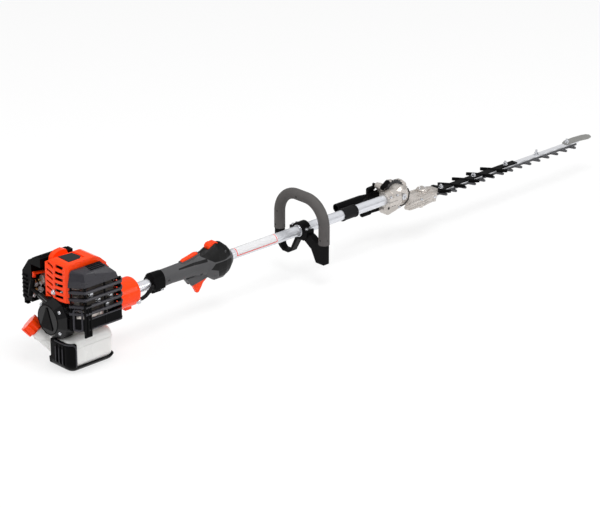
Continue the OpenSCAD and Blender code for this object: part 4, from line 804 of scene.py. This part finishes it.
class TRIMMER_OT_grip_fittings(bpy.types.Operator):
    """Screws of the rear grip, and the lining and vent holes of the loop handle"""
    bl_idname = "trimmer.grip_fittings"
    bl_label = "Grip fittings"

    def execute(self, context):
        sizes = context.scene.trimmer_sizes
        bm = bmesh.new()
        for side, node in ((-1, "grip_right"), (1, "grip_left")):
            tree = surface_tree(node)
            for x, z in ((250, 1), (352, -15), (420, 24), (424, -22)):
                hit, _ = on_surface(tree, at(x, side * 60, z), (0, -side, 0))
                screw(bm, hit + Vector((0, -side * 0.0006, 0)), (0, side, 0), sizes.screw_r * 0.8)
        piece("grip_screws", bm, "Dark steel", "engine")
        bm = bmesh.new()
        screw(bm, at(233, -12, -17.5), RIGHT, sizes.screw_r * 0.85)
        piece("cap_screw", bm, "Bright steel", "engine")
        # Steel lining that shows at the back of the loop handle's clamp
        bm = bmesh.new()
        tube(bm, ring_round_axis(671.2, 13.9, 48), 0.0012, sides=8, steps=1, closed=True)
        piece("clamp_lining", bm, "Bright steel", "engine")
        # Small vent holes of the foam sleeve, made as sunk dark cups
        bm = bmesh.new()
        foam = surface_tree("handle_foam")
        for x, y, z, way in FOAM_VENTS:
            hit, normal = on_surface(foam, at(x, y, z), way)
            stack(bm, [(0.0021, -0.0008, 16), (0.0021, 0.0001, 16), (0.0015, 0.0001, 16),
                       (0.0014, -0.0007, 16)], facing(hit, normal))
        piece("foam_vents", bm, "Rubber", "engine")
        return {"FINISHED"}


FILM_GAP = 0.0001               # between the tube and the film
# Grid lines along the tube in metres and round it in degrees; the border lies between the second and
# third lines from each end
FILM_XS = (0.462, 0.4640, 0.4662, 0.48, 0.50, 0.53, 0.56, 0.58, 0.5908, 0.5930, 0.595)
FILM_TURNS = (-20, -13, -3, *range(4, 121, 8), 122, 132, 140)


class TRIMMER_OT_tube_film(bpy.types.Operator):
    """Bare protective film with a coloured border on the drive tube"""
    bl_idname = "trimmer.tube_film"
    bl_label = "Tube film"

    def execute(self, context):
        sizes = context.scene.trimmer_sizes
        low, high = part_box("drive_tube")
        r = (high[2] - low[2]) / 2 + FILM_GAP
        xs, turns = FILM_XS, FILM_TURNS
        bm = bmesh.new()
        bmesh.ops.create_grid(bm, x_segments=len(xs) - 1, y_segments=len(turns) - 1, size=1.0)
        grid = sorted(bm.verts, key=lambda v: (round(v.co.y, 4), round(v.co.x, 4)))
        for i, v in enumerate(grid):
            row, column = divmod(i, len(xs))
            a = math.radians(turns[row])
            v.co = Vector((xs[column], -r * math.cos(a), AXIS_H + r * math.sin(a)))
        for f in bm.faces:
            c = f.calc_center_median()
            a = math.degrees(math.atan2(c.z - AXIS_H, -c.y))
            inside = xs[1] < c.x < xs[-2] and turns[1] < a < turns[-2]
            middle = xs[2] <= c.x <= xs[-3] and turns[2] <= a <= turns[-3]
            f.material_index = 1 if inside and not middle else 0
        bmesh.ops.solidify(bm, geom=bm.faces[:], thickness=-sizes.film_t)
        o = piece("tube_film", bm, "Film", "engine")
        o.data.materials.append(bpy.data.materials["Film border"])
        return {"FINISHED"}


# ---- Head ----

PIVOT_PAST_TUBE = 23            # from the drive tube's end to the folding pivot
# Black rubber ring that paints the shade in the gap round the barrel
GAP_SHADE_R = 24.6
GAP_SHADE_Y = -12.6


class TRIMMER_OT_head_fittings(bpy.types.Operator):
    """Screws, a dark ring of painted shade at the barrel's gap, and cast details of the folding head"""
    bl_idname = "trimmer.head_fittings"
    bl_label = "Head fittings"

    def execute(self, context):
        sizes = context.scene.trimmer_sizes
        pivot_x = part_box("drive_tube")[1][0] * 1000 + PIVOT_PAST_TUBE
        bm = bmesh.new()
        case = surface_tree("gear_case")
        for x, y in ((50, -31.5), (104, -25.5)):
            hit, _ = on_surface(case, at(pivot_x + x, y, 0), DOWN)
            hex_bolt(bm, hit, UP, sizes.screw_r * 0.9)
        hex_bolt(bm, at(pivot_x + 24, 19.6, -43), RIGHT, sizes.screw_r)
        for x, y in ((84, -9), (84, 9), (75, 0), (93, 0)):
            hit, _ = on_surface(case, at(pivot_x + x, y, 20), DOWN)
            screw(bm, hit, UP, sizes.screw_r * 0.6)
        screw(bm, at(pivot_x + 42.5, 15.5, 3), RIGHT, sizes.screw_r * 0.9)
        piece("case_screws", bm, "Bright steel", "head")
        # Dark ring of painted shade in the gap between the fixed barrel and the moving case, where the black
        # index plate also shows through
        ring = bmesh.new()
        arc = [at(pivot_x + GAP_SHADE_R * math.cos(math.radians(a)), GAP_SHADE_Y, GAP_SHADE_R * math.sin(math.radians(a)))
               for a in range(-105, 41, 5)]
        tube(ring, arc, 0.0012, sides=8, steps=1)
        piece("barrel_gap_shade", ring, "Rubber", "engine")
        # Cast ribs along the case's sloping sides and its wall, and the skirt under its arm
        bm = bmesh.new()
        for side in (-1, 1):
            for k in (12, 19):
                starts = [at(pivot_x + 52 + i * 7, side * (k - i * 0.4), 30) for i in range(8)]
                bead(bm, case, starts, DOWN, 0.0016, 0.4)
        for z, near, far in ((-24.5, -4, 92), (-31, 4, 80)):
            bead(bm, case, [at(pivot_x + x, -70, z) for x in range(near, far, 6)], LEFT, 0.0016)
        slab(bm, [(-0.022, -0.050), (-0.012, -0.0545), (0.012, -0.051), (0.040, -0.0465), (0.066, -0.0400),
                  (0.066, -0.034), (0.030, -0.034), (-0.010, -0.040)], 0.013, upright(pivot_x, 34), 0.0015)
        piece("case_ribs", bm, "Cast alloy", "head")
        return {"FINISHED"}


# ---- Stage ----

FLOOR_HALF = 14.0
FLOOR_GLOW = 0.72               # share of plain light that the eye sees in the floor
SKY_HEIGHTS = (0.1, 0.85)       # upward part of a direction, from the sky's dark end to its light end
SKY_LEVELS = (0.22, 0.75)
# Name, place, target, size, and share of the lamp strength
LAMPS = (
    ("lamp above", (0.2, -1.2, 4.2), (0.5, 0.0, 0.1), 2.4, 0.62),
    ("lamp left", (-3.4, 1.6, 2.4), (0.3, 0.0, 0.1), 1.6, 0.30),
    ("lamp right", (2.2, -3.6, 1.8), (0.6, 0.0, 0.1), 2.0, 0.28),
)
CAMERA_PLACE = (-3.2937, -4.1813, 2.460)
CAMERA_DOWN = 22.58             # degrees under the horizon
CAMERA_TURN = 46.47             # degrees round from +X
SENSOR_WIDTH = 36.0             # millimetres
CLIP_END = 60.0


def make_floor(scene, colours):
    """Pale floor that keeps shadows and glows towards the eye."""
    bm = bmesh.new()
    bmesh.ops.create_grid(bm, x_segments=1, y_segments=1, size=FLOOR_HALF)
    mesh = bpy.data.meshes.new("floor")
    bm.to_mesh(mesh)
    bm.free()
    floor = bpy.data.objects.new("floor", mesh)
    scene.collection.objects.link(floor)
    m = bpy.data.materials.new("Floor")
    m.use_nodes = True
    t = m.node_tree
    p = t.nodes["Principled BSDF"]
    p.inputs["Roughness"].default_value = 0.9
    p.inputs["Base Color"].default_value = rgba(colours.floor)
    glow = t.nodes.new("ShaderNodeEmission")
    path = t.nodes.new("ShaderNodeLightPath")
    seen = math_node(t, "MAXIMUM", path.outputs["Is Camera Ray"], path.outputs["Is Glossy Ray"])
    seen = math_node(t, "MAXIMUM", seen, path.outputs["Is Transmission Ray"])
    part = math_node(t, "MULTIPLY", seen, FLOOR_GLOW)
    mix = t.nodes.new("ShaderNodeMixShader")
    link(t, part, mix.inputs["Fac"])
    link(t, p.outputs["BSDF"], mix.inputs[1])
    link(t, glow.outputs["Emission"], mix.inputs[2])
    link(t, mix.outputs["Shader"], t.nodes["Material Output"].inputs["Surface"])
    mesh.materials.append(m)


def make_surroundings(scene):
    """White behind the tool, and a sky that is dark low down and light above for all other rays."""
    world = bpy.data.worlds.new("Surroundings")
    scene.world = world
    world.use_nodes = True
    t = world.node_tree
    back = t.nodes["Background"]
    back.inputs["Color"].default_value = (1.0, 1.0, 1.0, 1.0)
    path = t.nodes.new("ShaderNodeLightPath")
    way = t.nodes.new("ShaderNodeTexCoord")
    parts = t.nodes.new("ShaderNodeSeparateXYZ")
    link(t, way.outputs["Generated"], parts.inputs["Vector"])
    sky = map_range(t, parts.outputs["Z"], SKY_HEIGHTS, SKY_LEVELS, "SMOOTHSTEP")
    link(t, math_node(t, "MAXIMUM", path.outputs["Is Camera Ray"], sky), back.inputs["Strength"])


def make_lamps(scene, strength):
    """Round area lamps, each turned towards its target."""
    for name, place, target, size, share in LAMPS:
        data = bpy.data.lights.new(name, "AREA")
        data.shape = "DISK"
        data.size = size
        data.energy = strength * share
        o = bpy.data.objects.new(name, data)
        o.location = place
        o.rotation_euler = (Vector(target) - Vector(place)).to_track_quat("-Z", "Y").to_euler()
        scene.collection.objects.link(o)


def make_camera(scene, lens):
    """The camera of the main view."""
    camera = bpy.data.cameras.new("camera")
    camera.lens = lens
    camera.sensor_width = SENSOR_WIDTH
    camera.clip_end = CLIP_END
    o = bpy.data.objects.new("camera", camera)
    o.location = CAMERA_PLACE
    o.rotation_euler = (math.radians(90.0 - CAMERA_DOWN), 0.0, math.radians(CAMERA_TURN - 90.0))
    scene.collection.objects.link(o)
    scene.camera = o


class TRIMMER_OT_stage(bpy.types.Operator):
    """Floor, lamps, surroundings and camera"""
    bl_idname = "trimmer.stage"
    bl_label = "Stage"

    def execute(self, context):
        scene = context.scene
        sizes = scene.trimmer_sizes
        make_floor(scene, scene.trimmer_colours)
        make_surroundings(scene)
        make_lamps(scene, sizes.lamp)
        make_camera(scene, sizes.camera_lens)
        scene.view_settings.view_transform = "Standard"
        return {"FINISHED"}


# ---- Panel and registration ----

class TRIMMER_PT_panel(bpy.types.Panel):
    """Sizes, colours and steps of the trimmer's dressing"""
    bl_idname = "TRIMMER_PT_panel"
    bl_label = "Hedge trimmer"
    bl_space_type = "VIEW_3D"
    bl_region_type = "UI"
    bl_category = "Trimmer"

    def draw(self, context):
        layout = self.layout
        for group in (context.scene.trimmer_colours, context.scene.trimmer_sizes):
            for key in group.bl_rna.properties.keys():
                if key not in ("rna_type", "name"):
                    layout.prop(group, key)
        for step in STEPS:
            layout.operator(step.bl_idname)


STEPS = (TRIMMER_OT_stage, TRIMMER_OT_finishes, TRIMMER_OT_engine_fittings, TRIMMER_OT_intake_fittings,
         TRIMMER_OT_grip_fittings, TRIMMER_OT_tube_film, TRIMMER_OT_head_fittings)
CLASSES = (TrimmerColours, TrimmerSizes, TRIMMER_PT_panel) + STEPS


def register():
    """Adds the classes and the scene's two groups of settings."""
    for c in CLASSES:
        bpy.utils.register_class(c)
    bpy.types.Scene.trimmer_colours = bpy.props.PointerProperty(type=TrimmerColours)
    bpy.types.Scene.trimmer_sizes = bpy.props.PointerProperty(type=TrimmerSizes)


def unregister():
    """Takes away what register added."""
    del bpy.types.Scene.trimmer_sizes
    del bpy.types.Scene.trimmer_colours
    for c in reversed(CLASSES):
        bpy.utils.unregister_class(c)


def main():
    """Runs every step in order."""
    register()
    for step in STEPS:
        area, name = step.bl_idname.split(".")
        getattr(getattr(bpy.ops, area), name)()
    bpy.context.view_layer.update()


if __name__ == "__main__":
    main()
